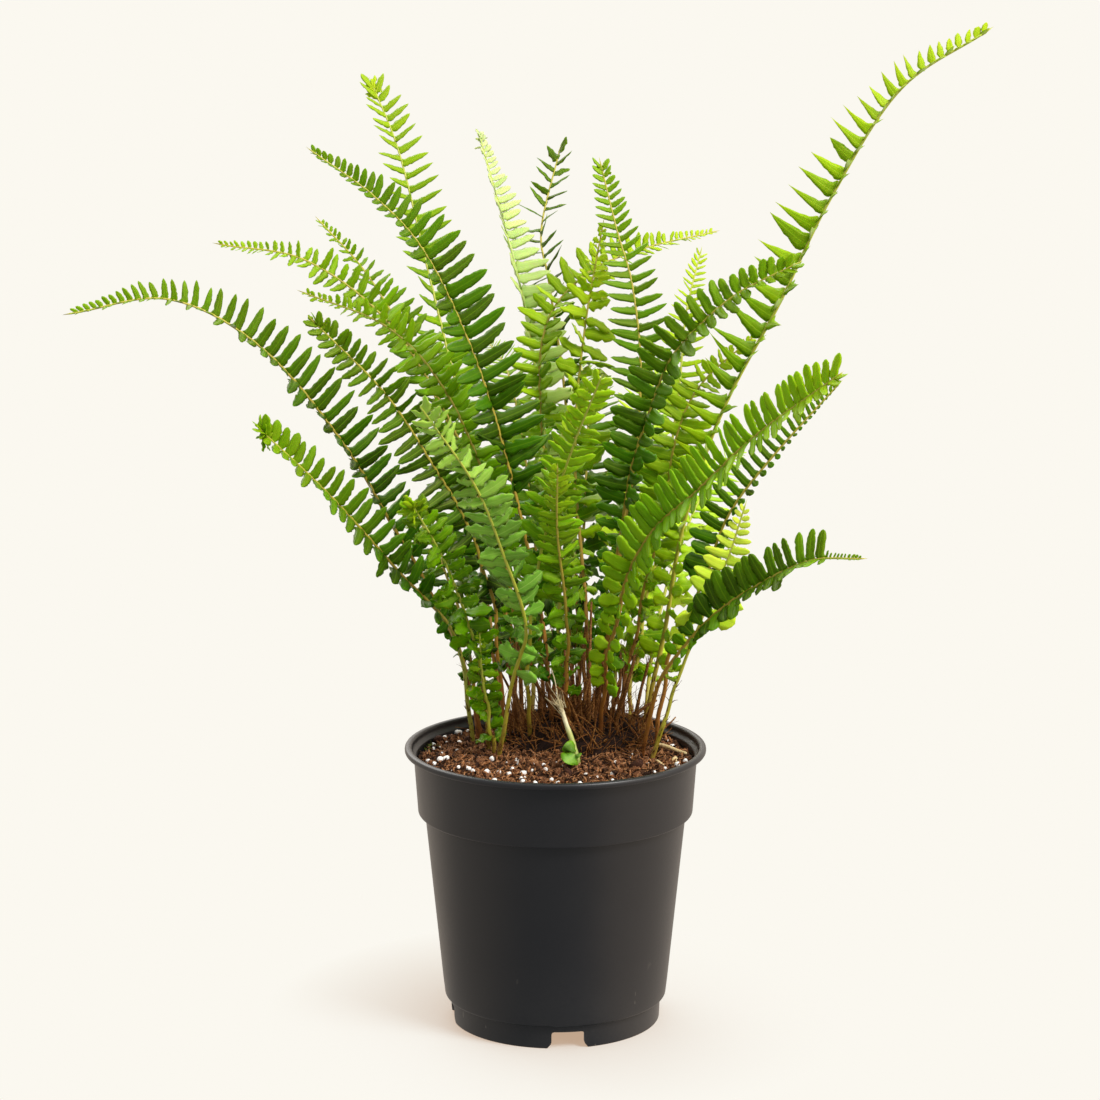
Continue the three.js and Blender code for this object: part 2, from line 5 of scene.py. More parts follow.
import bpy
import numpy as np
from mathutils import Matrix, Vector


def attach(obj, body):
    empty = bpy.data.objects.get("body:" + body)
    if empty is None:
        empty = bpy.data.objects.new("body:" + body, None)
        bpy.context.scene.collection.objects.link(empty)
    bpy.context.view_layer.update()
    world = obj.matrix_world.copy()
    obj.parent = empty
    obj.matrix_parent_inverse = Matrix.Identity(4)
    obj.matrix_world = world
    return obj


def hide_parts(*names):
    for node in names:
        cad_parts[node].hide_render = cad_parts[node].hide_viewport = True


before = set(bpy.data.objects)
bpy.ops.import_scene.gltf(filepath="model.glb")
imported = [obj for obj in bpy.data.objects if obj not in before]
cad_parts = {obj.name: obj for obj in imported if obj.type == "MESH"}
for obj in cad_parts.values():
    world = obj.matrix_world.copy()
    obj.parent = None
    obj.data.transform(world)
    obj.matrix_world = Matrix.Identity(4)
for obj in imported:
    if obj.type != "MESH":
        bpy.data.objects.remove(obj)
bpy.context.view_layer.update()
MM = 0.001

# Pot
# A black nursery pot, injection-moulded in one shot from polypropylene: a rolled lip, a deep
# band, a tapered body, and a foot ring with four notches and six holes that let water out.

RIM_RADIUS = 76.0
POT_HEIGHT = 142.3
LIP_BOTTOM = 139.2
BAND_TOP_RADIUS = 71.6
BAND_BOTTOM_RADIUS = 69.4
BAND_BOTTOM = 108.3
BODY_TOP_RADIUS = 66.0
BODY_BOTTOM_RADIUS = 56.6
FOOT_RADIUS = 53.1
FOOT_HEIGHT = 12.4
FLOOR_UNDERSIDE = 9.4
WALL = 1.6
POST_RADIUS = 7.0
NOTCH_WIDTH = 16.4
NOTCH_HEIGHT = 8.7
NOTCH_TURN = 6.7
NOTCH_DEPTH = 12
DRAIN_RADIUS = 4.5
DRAIN_CIRCLE = 33.0
POT_SIDES = 180
DRAIN_SIDES = 28
SHARP_FROM = 38
DUSTY_HEIGHT = 45 * MM


def placed(name, data):
    """A new object in the scene that holds a mesh, a light or a camera."""
    thing = bpy.data.objects.new(name, data)
    bpy.context.scene.collection.objects.link(thing)
    return thing


def piece(name, places, faces):
    """A smooth mesh object from places in millimetres and a list of faces."""
    mesh = bpy.data.meshes.new(name)
    mesh.from_pydata((np.asarray(places) * MM).tolist(), [], faces)
    mesh.validate()
    mesh.shade_smooth()
    return placed(name, mesh)


def unit(vectors, spare=0.0):
    """Vectors along the last axis, each divided by its length plus a spare."""
    return vectors / (np.linalg.norm(vectors, axis=-1, keepdims=True) + spare)


def compass(sides):
    """Angles that go once round in even steps."""
    return np.linspace(0, 2 * np.pi, sides, endpoint=False)


def polar(radius, angle, height):
    """Places at a radius and an angle round +Z, and at a height."""
    flat = radius * np.cos(angle), radius * np.sin(angle)
    return np.stack(np.broadcast_arrays(*flat, height), -1)


def rounded(corners, radii, steps=5):
    """A profile with round corners: each corner is a curve, the square of one minus t times the
    point before it, twice t times one minus t times the corner, and t squared times the point
    after it. The points lie one radius from the corner."""
    at = np.array(corners, float)
    ahead = unit(np.diff(at, axis=0, append=at[-1:] * 2 - at[-2:-1]))
    behind = unit(np.diff(at, axis=0, prepend=at[:1] * 2 - at[1:2]))
    reach = np.array(radii, float)[:, None]
    first, last = at - reach * behind, at + reach * ahead
    t = np.linspace(0, 1, steps)[None, :, None]
    arcs = (1 - t) ** 2 * first[:, None] + 2 * t * (1 - t) * at[:, None] + t**2 * last[:, None]
    points = arcs.reshape(-1, 2)
    step = np.linalg.norm(np.diff(points, axis=0, prepend=points[:1] + 1), axis=1)
    return points[step > 1e-4]


def tube_faces(rings, around, flipped=False):
    """Quads between rings of points that run the same way, and a fan to a pole at each end. The
    two poles are the last two points."""
    index = np.arange(rings * around).reshape(rings, around)
    nearby = np.roll(index, -1, 1)
    quads = np.stack([index[:-1], nearby[:-1], nearby[1:], index[1:]], -1).reshape(-1, 4)
    first, last = rings * around, rings * around + 1
    low = np.stack([nearby[0], index[0], np.full(around, first)], -1)
    high = np.stack([index[-1], nearby[-1], np.full(around, last)], -1)
    if flipped:
        quads, low, high = quads[:, ::-1], low[:, ::-1], high[:, ::-1]
    return quads.tolist() + low.tolist() + high.tolist()


def turned(profile, sides):
    """A lathe surface: each profile point, radius and height, is carried round +Z. The first and
    the last point lie on the axis and close the surface as poles."""
    radius, height = profile[1:-1].T[..., None]
    rings = polar(radius, compass(sides), height)
    poles = [[0, 0, profile[0, 1]], [0, 0, profile[-1, 1]]]
    return np.concatenate([rings.reshape(-1, 3), poles]), tube_faces(len(radius), sides)


def prism(outline, depth):
    """A closed bar: an outline of x and z runs along +Y from 0 to depth."""
    near = np.insert(np.array(outline, float), 1, 0, 1)
    index = np.arange(len(near))
    after, far = np.roll(index, -1), len(near)
    walls = np.stack([index, index + far, after + far, after], -1)
    ends = [index.tolist(), (index[::-1] + far).tolist()]
    return np.concatenate([near, near + [0, depth, 0]]), ends + walls.tolist()


def spun(places, degrees):
    """Places turned about +Z."""
    angle = math.radians(degrees)
    turn = np.array([[math.cos(angle), -math.sin(angle), 0],
                     [math.sin(angle), math.cos(angle), 0], [0, 0, 1]])
    return places @ turn.T


def cut_from(thing, cutters):
    """Each cutter is taken out of the thing by an exact Boolean, and then removed."""
    for cutter in cutters:
        cut = thing.modifiers.new("cut", "BOOLEAN")
        cut.solver = "EXACT"
        cut.operation = "DIFFERENCE"
        cut.object = cutter
    graph = bpy.context.evaluated_depsgraph_get()
    finished = bpy.data.meshes.new_from_object(thing.evaluated_get(graph))
    thing.modifiers.clear()
    thing.data = finished
    for cutter in cutters:
        bpy.data.objects.remove(cutter)


def pot_shell():
    """The pot's section, carried round its axis, with the notches and the holes cut."""
    floor_top = FLOOR_UNDERSIDE + WALL + 0.2
    section = [
        ((0, 0), 0), ((POST_RADIUS, 0), 0.3), ((POST_RADIUS, FLOOR_UNDERSIDE), 0.5),
        ((FOOT_RADIUS - WALL, FLOOR_UNDERSIDE), 0.5), ((FOOT_RADIUS - WALL, 0), 0.35),
        ((FOOT_RADIUS, 0), 0.6), ((FOOT_RADIUS + 0.5, FOOT_HEIGHT - 0.9), 0.4),
        ((BODY_BOTTOM_RADIUS - 0.3, FOOT_HEIGHT + 0.3), 0.9),
        ((BODY_BOTTOM_RADIUS + 0.6, FOOT_HEIGHT + 8), 3),
        ((BODY_TOP_RADIUS, BAND_BOTTOM - 0.4), 0.5), ((BAND_BOTTOM_RADIUS, BAND_BOTTOM), 0.9),
        ((BAND_TOP_RADIUS, LIP_BOTTOM), 0.5), ((RIM_RADIUS, LIP_BOTTOM), 1.3),
        ((RIM_RADIUS, POT_HEIGHT), 1.5), ((RIM_RADIUS - 3.5, POT_HEIGHT), 1.4),
        ((RIM_RADIUS - 3.8, POT_HEIGHT - 3), 1.0), ((BAND_TOP_RADIUS - WALL, LIP_BOTTOM - 1.5), 0.6),
        ((BAND_BOTTOM_RADIUS - WALL, BAND_BOTTOM + WALL), 0.6),
        ((BODY_TOP_RADIUS - WALL, BAND_BOTTOM - 1.1), 0.6),
        ((BODY_BOTTOM_RADIUS - WALL, FOOT_HEIGHT + 2), 0.8), ((FOOT_RADIUS - 1.2, floor_top), 0.5),
        ((0, floor_top), 0),
    ]
    shell = piece("nursery_pot", *turned(rounded(*zip(*section)), POT_SIDES))
    half = NOTCH_WIDTH / 2
    side = np.array([(half + 3, -1), (half + 0.4, 2.2), (half, 3.4), (half, NOTCH_HEIGHT - 1.2),
                     (half - 0.4, NOTCH_HEIGHT - 0.35), (half - 1.2, NOTCH_HEIGHT)])
    other = side[::-1] * [-1, 1]
    notch, notch_faces = prism(np.concatenate([other[-1:], side, other[:-1]]), NOTCH_DEPTH)
    notch += [0, -FOOT_RADIUS - NOTCH_DEPTH / 2, 0]
    cutters = [piece("notch", spun(notch, NOTCH_TURN + 90 * k), notch_faces) for k in range(4)]
    barrel = np.array([(0, 0), (DRAIN_RADIUS, 0), (DRAIN_RADIUS, 3 * WALL), (0, 3 * WALL)])
    drain, drain_faces = turned(barrel, DRAIN_SIDES)
    drain += [DRAIN_CIRCLE, 0, FLOOR_UNDERSIDE - WALL]
    cutters += [piece("drain", spun(drain, 60 * k + 30), drain_faces) for k in range(6)]
    cut_from(shell, cutters)
    shell.data.shade_smooth()
    shell.data.set_sharp_from_angle(angle=math.radians(SHARP_FROM))
    return shell


def linear(shade):
    """A colour written as six hexadecimal digits, as red, green, blue and alpha for a shader."""
    share = np.array([int(shade[k:k + 2], 16) for k in (0, 2, 4)]) / 255
    lit = np.where(share <= 0.04045, share / 12.92, ((share + 0.055) / 1.055) ** 2.4)
    return (*lit.tolist(), 1.0)


def put(socket, value):
    """A socket gets a link from another socket, a colour from its six digits, or a value."""
    if isinstance(value, bpy.types.NodeSocket):
        socket.id_data.links.new(value, socket)
    else:
        socket.default_value = linear(value) if isinstance(value, str) else value


def feed(made, **values):
    """A node with its values: each goes to the node's setting of that name where it has one,
    or else to its socket of that name, with a space for each underscore."""
    for name, value in values.items():
        if hasattr(made, name):
            setattr(made, name, value)
        else:
            label = name.replace("_", " ")
            put(next(s for s in made.inputs if s.name == label and s.enabled), value)
    return made


def node(tree, kind, **values):
    """A new shader node of a kind, with its values."""
    return feed(tree.nodes.new("ShaderNode" + kind), **values)


def math_of(operation, *values, clamp=False):
    """One step of arithmetic on sockets and numbers, in the tree that the sockets are in."""
    tree = next(v for v in values if isinstance(v, bpy.types.NodeSocket)).id_data
    step = node(tree, "Math", operation=operation, use_clamp=clamp)
    for socket, value in zip(step.inputs, values):
        put(socket, value)
    return step.outputs[0]


def scaled(value, times, plus=0.0):
    """A value times a number, plus another."""
    return math_of("MULTIPLY_ADD", value, times, plus)


def clamped(value, times, plus=0.0):
    """A value times a number, plus another, and kept between 0 and 1."""
    return math_of("MULTIPLY_ADD", value, times, plus, clamp=True)


def blend_of(share, first, second):
    """The colour that lies a share of the way from the first to the second."""
    mix = node(share.id_data, "Mix", data_type="RGBA", Factor=share, A=first, B=second)
    return next(s for s in mix.outputs if s.enabled)


def ramp(share, *stops):
    """A colour ramp through stops, each a place from 0 to 1 and a colour."""
    made = node(share.id_data, "ValToRGB", Fac=share)
    band = made.color_ramp
    while len(band.elements) < len(stops):
        band.elements.new(0.5)
    for element, (place, colour) in zip(band.elements, stops):
        element.position = place
        element.color = linear(colour)
    return made.outputs["Color"]


def relief(height, strength, distance):
    """The normals of a surface that a height raises, by a distance in millimetres."""
    bump = node(height.id_data, "Bump", Height=height, Strength=strength, Distance=distance * MM)
    return bump.outputs[0]


def material(name):
    """A new material, with its node tree and its Principled shader."""
    finish = bpy.data.materials.new(name)
    finish.use_nodes = True
    return finish, finish.node_tree, finish.node_tree.nodes["Principled BSDF"]


def shader_group(name, inputs, outputs):
    """A new shader node group with named inputs of given kinds, and numbers for outputs: its
    tree, the sockets that it starts from and the sockets that it ends in."""
    group = bpy.data.node_groups.new(name, "ShaderNodeTree")
    for label, kind in inputs.items():
        group.interface.new_socket(label, in_out="INPUT", socket_type="NodeSocket" + kind)
    for label in outputs:
        group.interface.new_socket(label, in_out="OUTPUT", socket_type="NodeSocketFloat")
    start, end = group.nodes.new("NodeGroupInput"), group.nodes.new("NodeGroupOutput")
    return group, start.outputs, end.inputs


def mottle_group():
    """Uneven tone that belongs to the object: noise at one scale, and finer noise on it, each
    from 0 to 1. Their mean goes out as Broad and the finer one as Fine."""
    group, given, end = shader_group("mottle", {"Scale": "Float", "Finer": "Float"}, ["Broad", "Fine"])
    place = node(group, "TexCoord").outputs["Object"]
    broad = node(group, "TexNoise", Vector=place, Scale=given["Scale"], Detail=3.0).outputs["Fac"]
    finer = math_of("MULTIPLY", given["Scale"], given["Finer"])
    fine = node(group, "TexNoise", Vector=place, Scale=finer, Detail=2.0).outputs["Fac"]
    put(end["Broad"], math_of("MULTIPLY_ADD", broad, 0.6, scaled(fine, 0.4)))
    put(end["Fine"], fine)
    return group


mottle = mottle_group()


def mottled(tree, scale, finer):
    """The mottle group in this tree, with its own scale per metre: its broad and its fine tone."""
    return node(tree, "Group", node_tree=mottle, Scale=scale, Finer=finer).outputs


def pot_plastic():
    """Black plastic, a little warm, with a fine moulded skin, a breath of dust near the foot and
    short pale scuffs there."""
    finish, tree, shader = material("pot_plastic")
    broad, fine = mottled(tree, 38.0, 16.0)
    place = node(tree, "TexCoord").outputs["Object"]
    height = node(tree, "SeparateXYZ", Vector=place).outputs["Z"]
    low = clamped(height, -1 / DUSTY_HEIGHT, 1.0)
    stretch = node(tree, "Mapping", Vector=place, Scale=(1.0, 1.0, 0.45)).outputs[0]
    strokes = node(tree, "TexNoise", Vector=stretch, Scale=210.0, Detail=1.0).outputs["Fac"]
    scuff = math_of("MULTIPLY", math_of("GREATER_THAN", strokes, 0.76), low)
    dusty = math_of("MULTIPLY", broad, scaled(low, 0.10, 0.035))
    shade = blend_of(dusty, "17171a", "6e6a66")
    shade = blend_of(scaled(scuff, 0.3), shade, "8d877c")
    feed(shader, Base_Color=shade, Roughness=scaled(broad, 0.16, 0.3), Normal=relief(fine, 0.06, 0.2))
    return finish


def dress(thing, slot, nodes, *finishes):
    """The piece gets its finishes, rides on the one body, and stands for its solids."""
    for finish in finishes:
        thing.data.materials.append(finish)
    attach(thing, "root")
    if nodes:
        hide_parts(*nodes)


dress(pot_shell(), "pot", ["pot"], pot_plastic())

# Potting mix
# Dark peat and composted bark that fills the pot to just under its lip. Its surface is loose:
# crumbs, fibres and chips lie on it, and it rises a little towards the middle.

SOIL_LEVEL = 134.5
SOIL_EDGE = BAND_TOP_RADIUS - WALL - 0.7
SOIL_BOTTOM = 11.9
MIDDLE_RISE = 3
RISE_REACH = 70
SOIL_SIDES = 220
SOIL_RINGS = 84
LATTICE = 97
CRUMBS = 2300
SHREDS = 1200
FIBRES = 1000
rng = np.random.default_rng(23)


def soil_top(x, y):
    """Height in millimetres: nearly level, with long lumps, shorter ones, and a low middle rise."""
    longer = 1.1 * np.sin(0.21 * x + 1.3) * np.cos(0.19 * y + 0.4)
    shorter = 0.8 * np.sin(0.37 * x + 0.29 * y) + 0.5 * np.cos(0.53 * y - 0.23 * x + 2)
    middle = np.maximum(0, 1 - np.hypot(x, y) / RISE_REACH)
    return SOIL_LEVEL + longer + shorter + MIDDLE_RISE * middle


def lattice_noise(x, y, cell, seed):
    """Smooth noise from 0 to 1: random values on a square lattice, blended between its corners
    by three t squared minus two t cubed."""
    table = np.random.default_rng(seed).random((LATTICE, LATTICE))
    across, up = x / cell, y / cell
    i, j = np.floor(across).astype(int), np.floor(up).astype(int)
    s, t = across - i, up - j
    s, t = s * s * (3 - 2 * s), t * t * (3 - 2 * t)
    corner = [table[(i + a) % LATTICE, (j + b) % LATTICE] for a in (0, 1) for b in (0, 1)]
    low = corner[0] * (1 - t) + corner[1] * t
    high = corner[2] * (1 - t) + corner[3] * t
    return low * (1 - s) + high * s


def crumbly(x, y):
    """The rough skin on the soil: three sizes of noise, sharpened so that crumbs stand out."""
    coarse = np.abs(lattice_noise(x, y, 5.2, 4) - 0.5) * 2
    middling = np.abs(lattice_noise(x, y, 2.4, 5) - 0.5) * 2
    fine = lattice_noise(x, y, 1.1, 6)
    return 1.8 * coarse + 1.2 * middling + 0.5 * fine - 1.6


def on_soil(x, y, rise):
    """Points that lie a rise above the rough top."""
    return np.stack([x, y, soil_top(x, y) + crumbly(x, y) + rise], -1)


def soil_body():
    """The soil as one closed body: rows up the pot's wall, then rows in over the rough top."""
    angle = compass(SOIL_SIDES)
    wall = [(FOOT_RADIUS - 1.9, SOIL_BOTTOM), (BODY_BOTTOM_RADIUS - WALL - 0.5, FOOT_HEIGHT + 2.4),
            (BODY_TOP_RADIUS - WALL - 0.5, BAND_BOTTOM - 1), (BAND_BOTTOM_RADIUS - WALL - 0.6, 111),
            (SOIL_EDGE, SOIL_LEVEL - 3)]
    share = np.linspace(1, 0.01, SOIL_RINGS)[:, None]
    top = on_soil(SOIL_EDGE * share * np.cos(angle), SOIL_EDGE * share * np.sin(angle), 0)
    poles = [[0, 0, SOIL_BOTTOM], [0, 0, float(soil_top(0.0, 0.0))]]
    places = np.concatenate([*(polar(radius, angle, height) for radius, height in wall), *top, poles])
    return places, tube_faces(len(wall) + SOIL_RINGS, SOIL_SIDES)


def random_turns(count, source):
    """Evenly random rotations, as one matrix each, from four normal numbers made a quaternion."""
    w, x, y, z = unit(source.normal(size=(count, 4))).T
    rows = [[1 - 2 * (y * y + z * z), 2 * (x * y - w * z), 2 * (x * z + w * y)],
            [2 * (x * y + w * z), 1 - 2 * (x * x + z * z), 2 * (y * z - w * x)],
            [2 * (x * z - w * y), 2 * (y * z + w * x), 1 - 2 * (x * x + y * y)]]
    return np.array(rows).transpose(2, 0, 1)


def copies(faces, count, size):
    """The faces of one shape, repeated for each copy of its points."""
    kinds = [np.array([f for f in faces if len(f) == n]) for n in (3, 4)]
    shift = (np.arange(count) * size)[:, None, None]
    return [face for kind in kinds for face in (kind[None] + shift).reshape(-1, kind.shape[1]).tolist()]


def lumps(centres, sizes, around, rings, unevenness, source):
    """Closed lumps: a ball's points, each moved in or out by a random share, stretched along
    three axes by sizes, turned at random and set at the centres."""
    lat = np.linspace(-np.pi / 2, np.pi / 2, rings + 2)[1:-1, None]
    ball = polar(np.cos(lat), compass(around), np.sin(lat)).reshape(-1, 3)
    ball = np.concatenate([ball, [[0, 0, -1], [0, 0, 1]]])
    count = len(centres)
    bumpy = ball[None] * (1 + unevenness * source.uniform(-1, 1, (count, len(ball), 1)))
    shaped = bumpy * np.asarray(sizes)[:, None, :]
    places = np.einsum("nij,npj->npi", random_turns(count, source), shaped) + centres[:, None]
    return places.reshape(-1, 3), copies(tube_faces(rings, around), count, len(ball))


def round_tubes(lines, halves, around):
    """Tubes with round sections round many lines of equal step count, with a pole at each end."""
    count, steps, _ = lines.shape
    tangent = unit(np.gradient(lines, axis=1), 1e-9)
    guide = np.where(np.abs(tangent[..., 2:]) < 0.8, [0.0, 0, 1], [1.0, 0, 0])
    side = unit(np.cross(tangent, guide), 1e-9)
    normal = np.cross(side, tangent)
    angle = compass(around)[:, None]
    ring = side[:, :, None] * np.cos(angle) - normal[:, :, None] * np.sin(angle)
    ring = lines[:, :, None] + ring * halves[:, :, None, None]
    ends = np.stack([lines[:, 0] - tangent[:, 0] * halves[:, :1],
                     lines[:, -1] + tangent[:, -1] * halves[:, -1:]], 1)
    places = np.concatenate([ring.reshape(count, -1, 3), ends], 1)
    return places.reshape(-1, 3), copies(tube_faces(steps, around), count, steps * around + 2)


def strands(starts, ways, lengths, halves, bend, steps, around, source, taper=0.25):
    """Closed thin tubes: each runs from its start along its way, bows by a random vector times
    t squared, wavers by two sines, and narrows from its half width to taper times it."""
    count = len(starts)
    t = np.linspace(0, 1, steps)[None, :, None]
    span = np.asarray(lengths)[:, None, None]
    bow = source.normal(size=(count, 1, 3)) * bend
    waver = source.normal(size=(count, 1, 3)) * bend * 0.4
    phase = source.uniform(0, 6.28, (count, 1, 1))
    line = starts[:, None] + span * (unit(ways)[:, None] * t + bow * t**2
                                     + waver * (np.sin(5 * t + phase) - np.sin(phase)) * 0.5)
    return round_tubes(line, np.asarray(halves)[:, None] * (1 - (1 - taper) * t[..., 0]), around)


def scattered(count, source, reach=SOIL_EDGE - 1.5):
    """Random places on the soil, spread evenly over its round top."""
    radius, angle = reach * np.sqrt(source.random(count)), source.uniform(0, 2 * np.pi, count)
    return radius * np.cos(angle), radius * np.sin(angle)


def joined(*shapes):
    """Several lots of places and faces as one."""
    shift, places, faces = 0, [], []
    for some, corners in shapes:
        places.append(some)
        faces += [[i + shift for i in face] for face in corners]
        shift += len(some)
    return np.concatenate(places), faces


def earth(name, dark, mid, light, scale, rough):
    """Damp organic matter: three browns spread by noise, and rough. The same noise sinks the surface, so
    its darkest brown lies in the pits: partly the browns' own spread, partly painted shade.
    """
    finish, tree, shader = material(name)
    broad, fine = mottled(tree, scale, 6.0)
    # The darkest brown falls where the bump sinks: painted shade in the pits, on top of the spread of
    # browns.
    shade = ramp(clamped(fine, 1.6, -0.3), (0.12, dark), (0.5, mid), (0.88, light))
    shade = blend_of(clamped(broad, 1.4, -0.35), dark, shade)
    feed(shader, Base_Color=shade, Roughness=rough, Normal=relief(fine, 0.7, 0.5),
         Specular_IOR_Level=0.25)
    return finish


dress(piece("potting_mix", *soil_body()), "soil", ["soil"],
      earth("damp_mix", "0c0502", "5a3016", "c88850", 420.0, 0.92))

crumb_x, crumb_y = scattered(CRUMBS, rng)
crumb_size = rng.gamma(3.0, 0.27, (CRUMBS, 1)) + 0.3
crumb_sizes = crumb_size * rng.uniform(0.5, 1.1, (CRUMBS, 3))
crumbs = lumps(on_soil(crumb_x, crumb_y, 0.25 * crumb_size[:, 0]), crumb_sizes, 6, 3, 0.3, rng)
dress(piece("soil_crumbs", *crumbs), "soil", [],
      earth("crumb_mix", "1e0c04", "aa6234", "f6c490", 520.0, 0.9))

for label, *browns in (("dark_shreds", "100602", "42200a", "8e5a32"),
                       ("tan_shreds", "703a18", "e09c5c", "ffe6c0")):
    shred_at = on_soil(*scattered(SHREDS, rng), 0.8)
    shred_size = rng.uniform(0.45, 1.2, (SHREDS, 1)) * [2.6, 0.7, 0.42]
    shreds = lumps(shred_at, shred_size * rng.uniform(0.6, 1.2, (SHREDS, 3)), 6, 3, 0.2, rng)
    dress(piece(label, *shreds), "soil", [], earth(label + "_mix", *browns, 420.0, 0.88))

fibre_at = on_soil(*scattered(FIBRES, rng, SOIL_EDGE - 8), 0.9)
fibre_way = rng.normal(size=(FIBRES, 3)) * [1, 1, 0.2]
fibres = strands(fibre_at, fibre_way, rng.uniform(2.5, 8, FIBRES), rng.uniform(0.12, 0.26, FIBRES),
                 0.3, 6, 4, rng)
dress(piece("soil_fibres", *fibres), "soil", [],
      earth("bark_fibre", "7c4820", "cc8c54", "f6d2a0", 300.0, 0.85))

# Perlite, chips and moss
# White puffed perlite grains are mixed through the soil and gather near the pot's wall. A pale
# wood chip, a straw-coloured twig, lumps of bark and two spots of moss lie among them.

LARGE_GRAINS = [
    (-65, 7), (-59, 23), (-62, 21), (-50, 15), (-49, 25), (-51, 46), (-57, 35), (-58, 1),
    (-58, -8), (-55, -7), (-64, -7), (-60, -20), (-44, -24), (-41, -28), (-44, -35), (-7, -44),
    (-2, -44), (1, -48), (-10, -54), (12, -54), (-5, -33), (60, 23), (61, -14), (65, -12),
    (-32, -7), (37, 13), (-18, -18), (-28, -31), (-23, -35), (-30, -46), (-17, -41), (28, -43)]
MORE_GRAINS = 150
BARE_MIDDLE = 34
FRONT_FROM = -12
TWIG_STEPS = 14
MOSS_STRANDS = 110


def puffed_glass():
    """Chalk-white perlite, pitted all over, with a little brown dust in the pits."""
    finish, tree, shader = material("perlite")
    broad, fine = mottled(tree, 300.0, 5.0)
    shade = blend_of(clamped(fine, 2.2, -1.42), "fbf8f2", "b89a7c")
    feed(shader, Base_Color=shade, Roughness=0.8, Normal=relief(broad, 0.5, 0.3))
    return finish


large = np.array(LARGE_GRAINS, float)
more_x, more_y = scattered(MORE_GRAINS, rng)
kept = (np.hypot(more_x, more_y) > BARE_MIDDLE) | (more_y < FRONT_FROM)
grain_x = np.concatenate([large[:, 0], more_x[kept]])
grain_y = np.concatenate([large[:, 1], more_y[kept]])
grain_size = np.concatenate([rng.uniform(1.2, 1.7, len(large)), rng.gamma(3.0, 0.2, kept.sum()) + 0.25])
grains = lumps(on_soil(grain_x, grain_y, 0.7 * grain_size),
               grain_size[:, None] * rng.uniform(0.7, 1.15, (len(grain_x), 3)), 9, 6, 0.13, rng)
dress(piece("perlite_grains", *grains), "soil", [], puffed_glass())

chip_places = on_soil(np.array([-54.0, -60.0, -44.0, 40.0, 58.0, 6.0, 30.0, -12.0]),
                      np.array([42.0, 31.0, 36.0, -24.0, 12.0, -36.0, -52.0, -56.0]), 1.0)
chip_sizes = np.array([[5, 3.4, 2.6], [4, 3, 2.2], [3.4, 2.4, 2], [4, 2.6, 2], [3.5, 2.2, 1.6],
                       [3, 2, 1.4], [3.2, 1.8, 1.2], [3, 2, 1.5]])
dress(piece("bark_lumps", *lumps(chip_places, chip_sizes, 10, 6, 0.16, rng)), "soil", [],
      earth("old_bark", "24110a", "55301b", "83553a", 260.0, 0.88))

wood_at = on_soil(np.array([54.0, 60.0]), np.array([-13.0, -8.0]), 0.8)
wood = lumps(wood_at, np.array([[5.2, 2.2, 0.9], [2.4, 1.6, 0.8]]), 9, 5, 0.12, rng)
twig_line = np.stack([np.linspace(51, 66, TWIG_STEPS), np.linspace(18, 3, TWIG_STEPS),
                      137.4 + 0.5 * np.sin(np.linspace(0, 5, TWIG_STEPS))], -1)[None]
twig = round_tubes(twig_line, np.linspace(1.3, 0.8, TWIG_STEPS)[None], 8)
dress(piece("pale_chips", *joined(wood, twig)), "soil", [],
      earth("pale_wood", "d8bc84", "ecd8a4", "fbf0cc", 160.0, 0.75))

moss_x = np.concatenate([rng.normal(-64, 2.0, MOSS_STRANDS), rng.normal(36, 4.0, MOSS_STRANDS)])
moss_y = np.concatenate([rng.normal(20, 1.8, MOSS_STRANDS), rng.normal(-49, 1.4, MOSS_STRANDS)])
inside = np.hypot(moss_x, moss_y) < SOIL_EDGE - 0.5
moss_at = on_soil(moss_x[inside], moss_y[inside], 0.4)
moss_way = rng.normal(size=moss_at.shape) * 0.7 + [0, 0, 0.8]
tufts = strands(moss_at, moss_way, rng.uniform(0.8, 2.0, len(moss_at)),
                rng.uniform(0.18, 0.34, len(moss_at)), 0.2, 4, 4, rng)
dress(piece("moss_spots", *tufts), "soil", [],
      earth("moss", "4f5a16", "8c9a3a", "c3c678", 240.0, 0.9))

# Crown
# The fern's rootstock: a low mat of brown scales and wiry roots behind the pot's axis, raised
# above the soil. Most of the stalks grow out of it, and loose fibres stand up among them.

CROWN_X = 14.0
CROWN_Y = 29.0
CROWN_LONG = 40.0
CROWN_SHORT = 31.0
CROWN_RISE = 15.0
CROWN_BOTTOM = 126.0
CROWN_SIDES = 150
CROWN_RINGS = 46
HAIRS = 440
UPRIGHTS = 80


def crown_edge(angle):
    """The ragged edge as a share of an ellipse: one plus a slow wave and a quick one."""
    return 1 + 0.05 * np.sin(3 * angle + 1) + 0.04 * np.sin(7 * angle)


def crown_place(share, angle):
    """x and y at a share of the way from the crown's middle to its ragged edge."""
    share = share * crown_edge(angle)
    return CROWN_X + share * CROWN_LONG * np.cos(angle), CROWN_Y + share * CROWN_SHORT * np.sin(angle)


def crown_reach(x, y):
    """How far a point is from the crown's middle, as a share of the way to its edge."""
    dx, dy = (x - CROWN_X) / CROWN_LONG, (y - CROWN_Y) / CROWN_SHORT
    return np.hypot(dx, dy) / crown_edge(np.arctan2(dy, dx))


def crown_top(x, y):
    """A mound: its rise, with lumps, times one minus the reach squared, on top of the soil."""
    reach = np.minimum(1, crown_reach(x, y))
    bumps = 1.4 * np.sin(0.45 * x) * np.sin(0.5 * y + 1) + 0.8 * np.sin(0.9 * x - 0.7 * y)
    return soil_top(x, y) + 1.2 + (CROWN_RISE + bumps) * (1 - reach**2)


def ground_top(x, y):
    """The crown's top where there is crown, and the soil's top elsewhere."""
    return np.where(crown_reach(x, y) < 1, crown_top(x, y), soil_top(x, y))


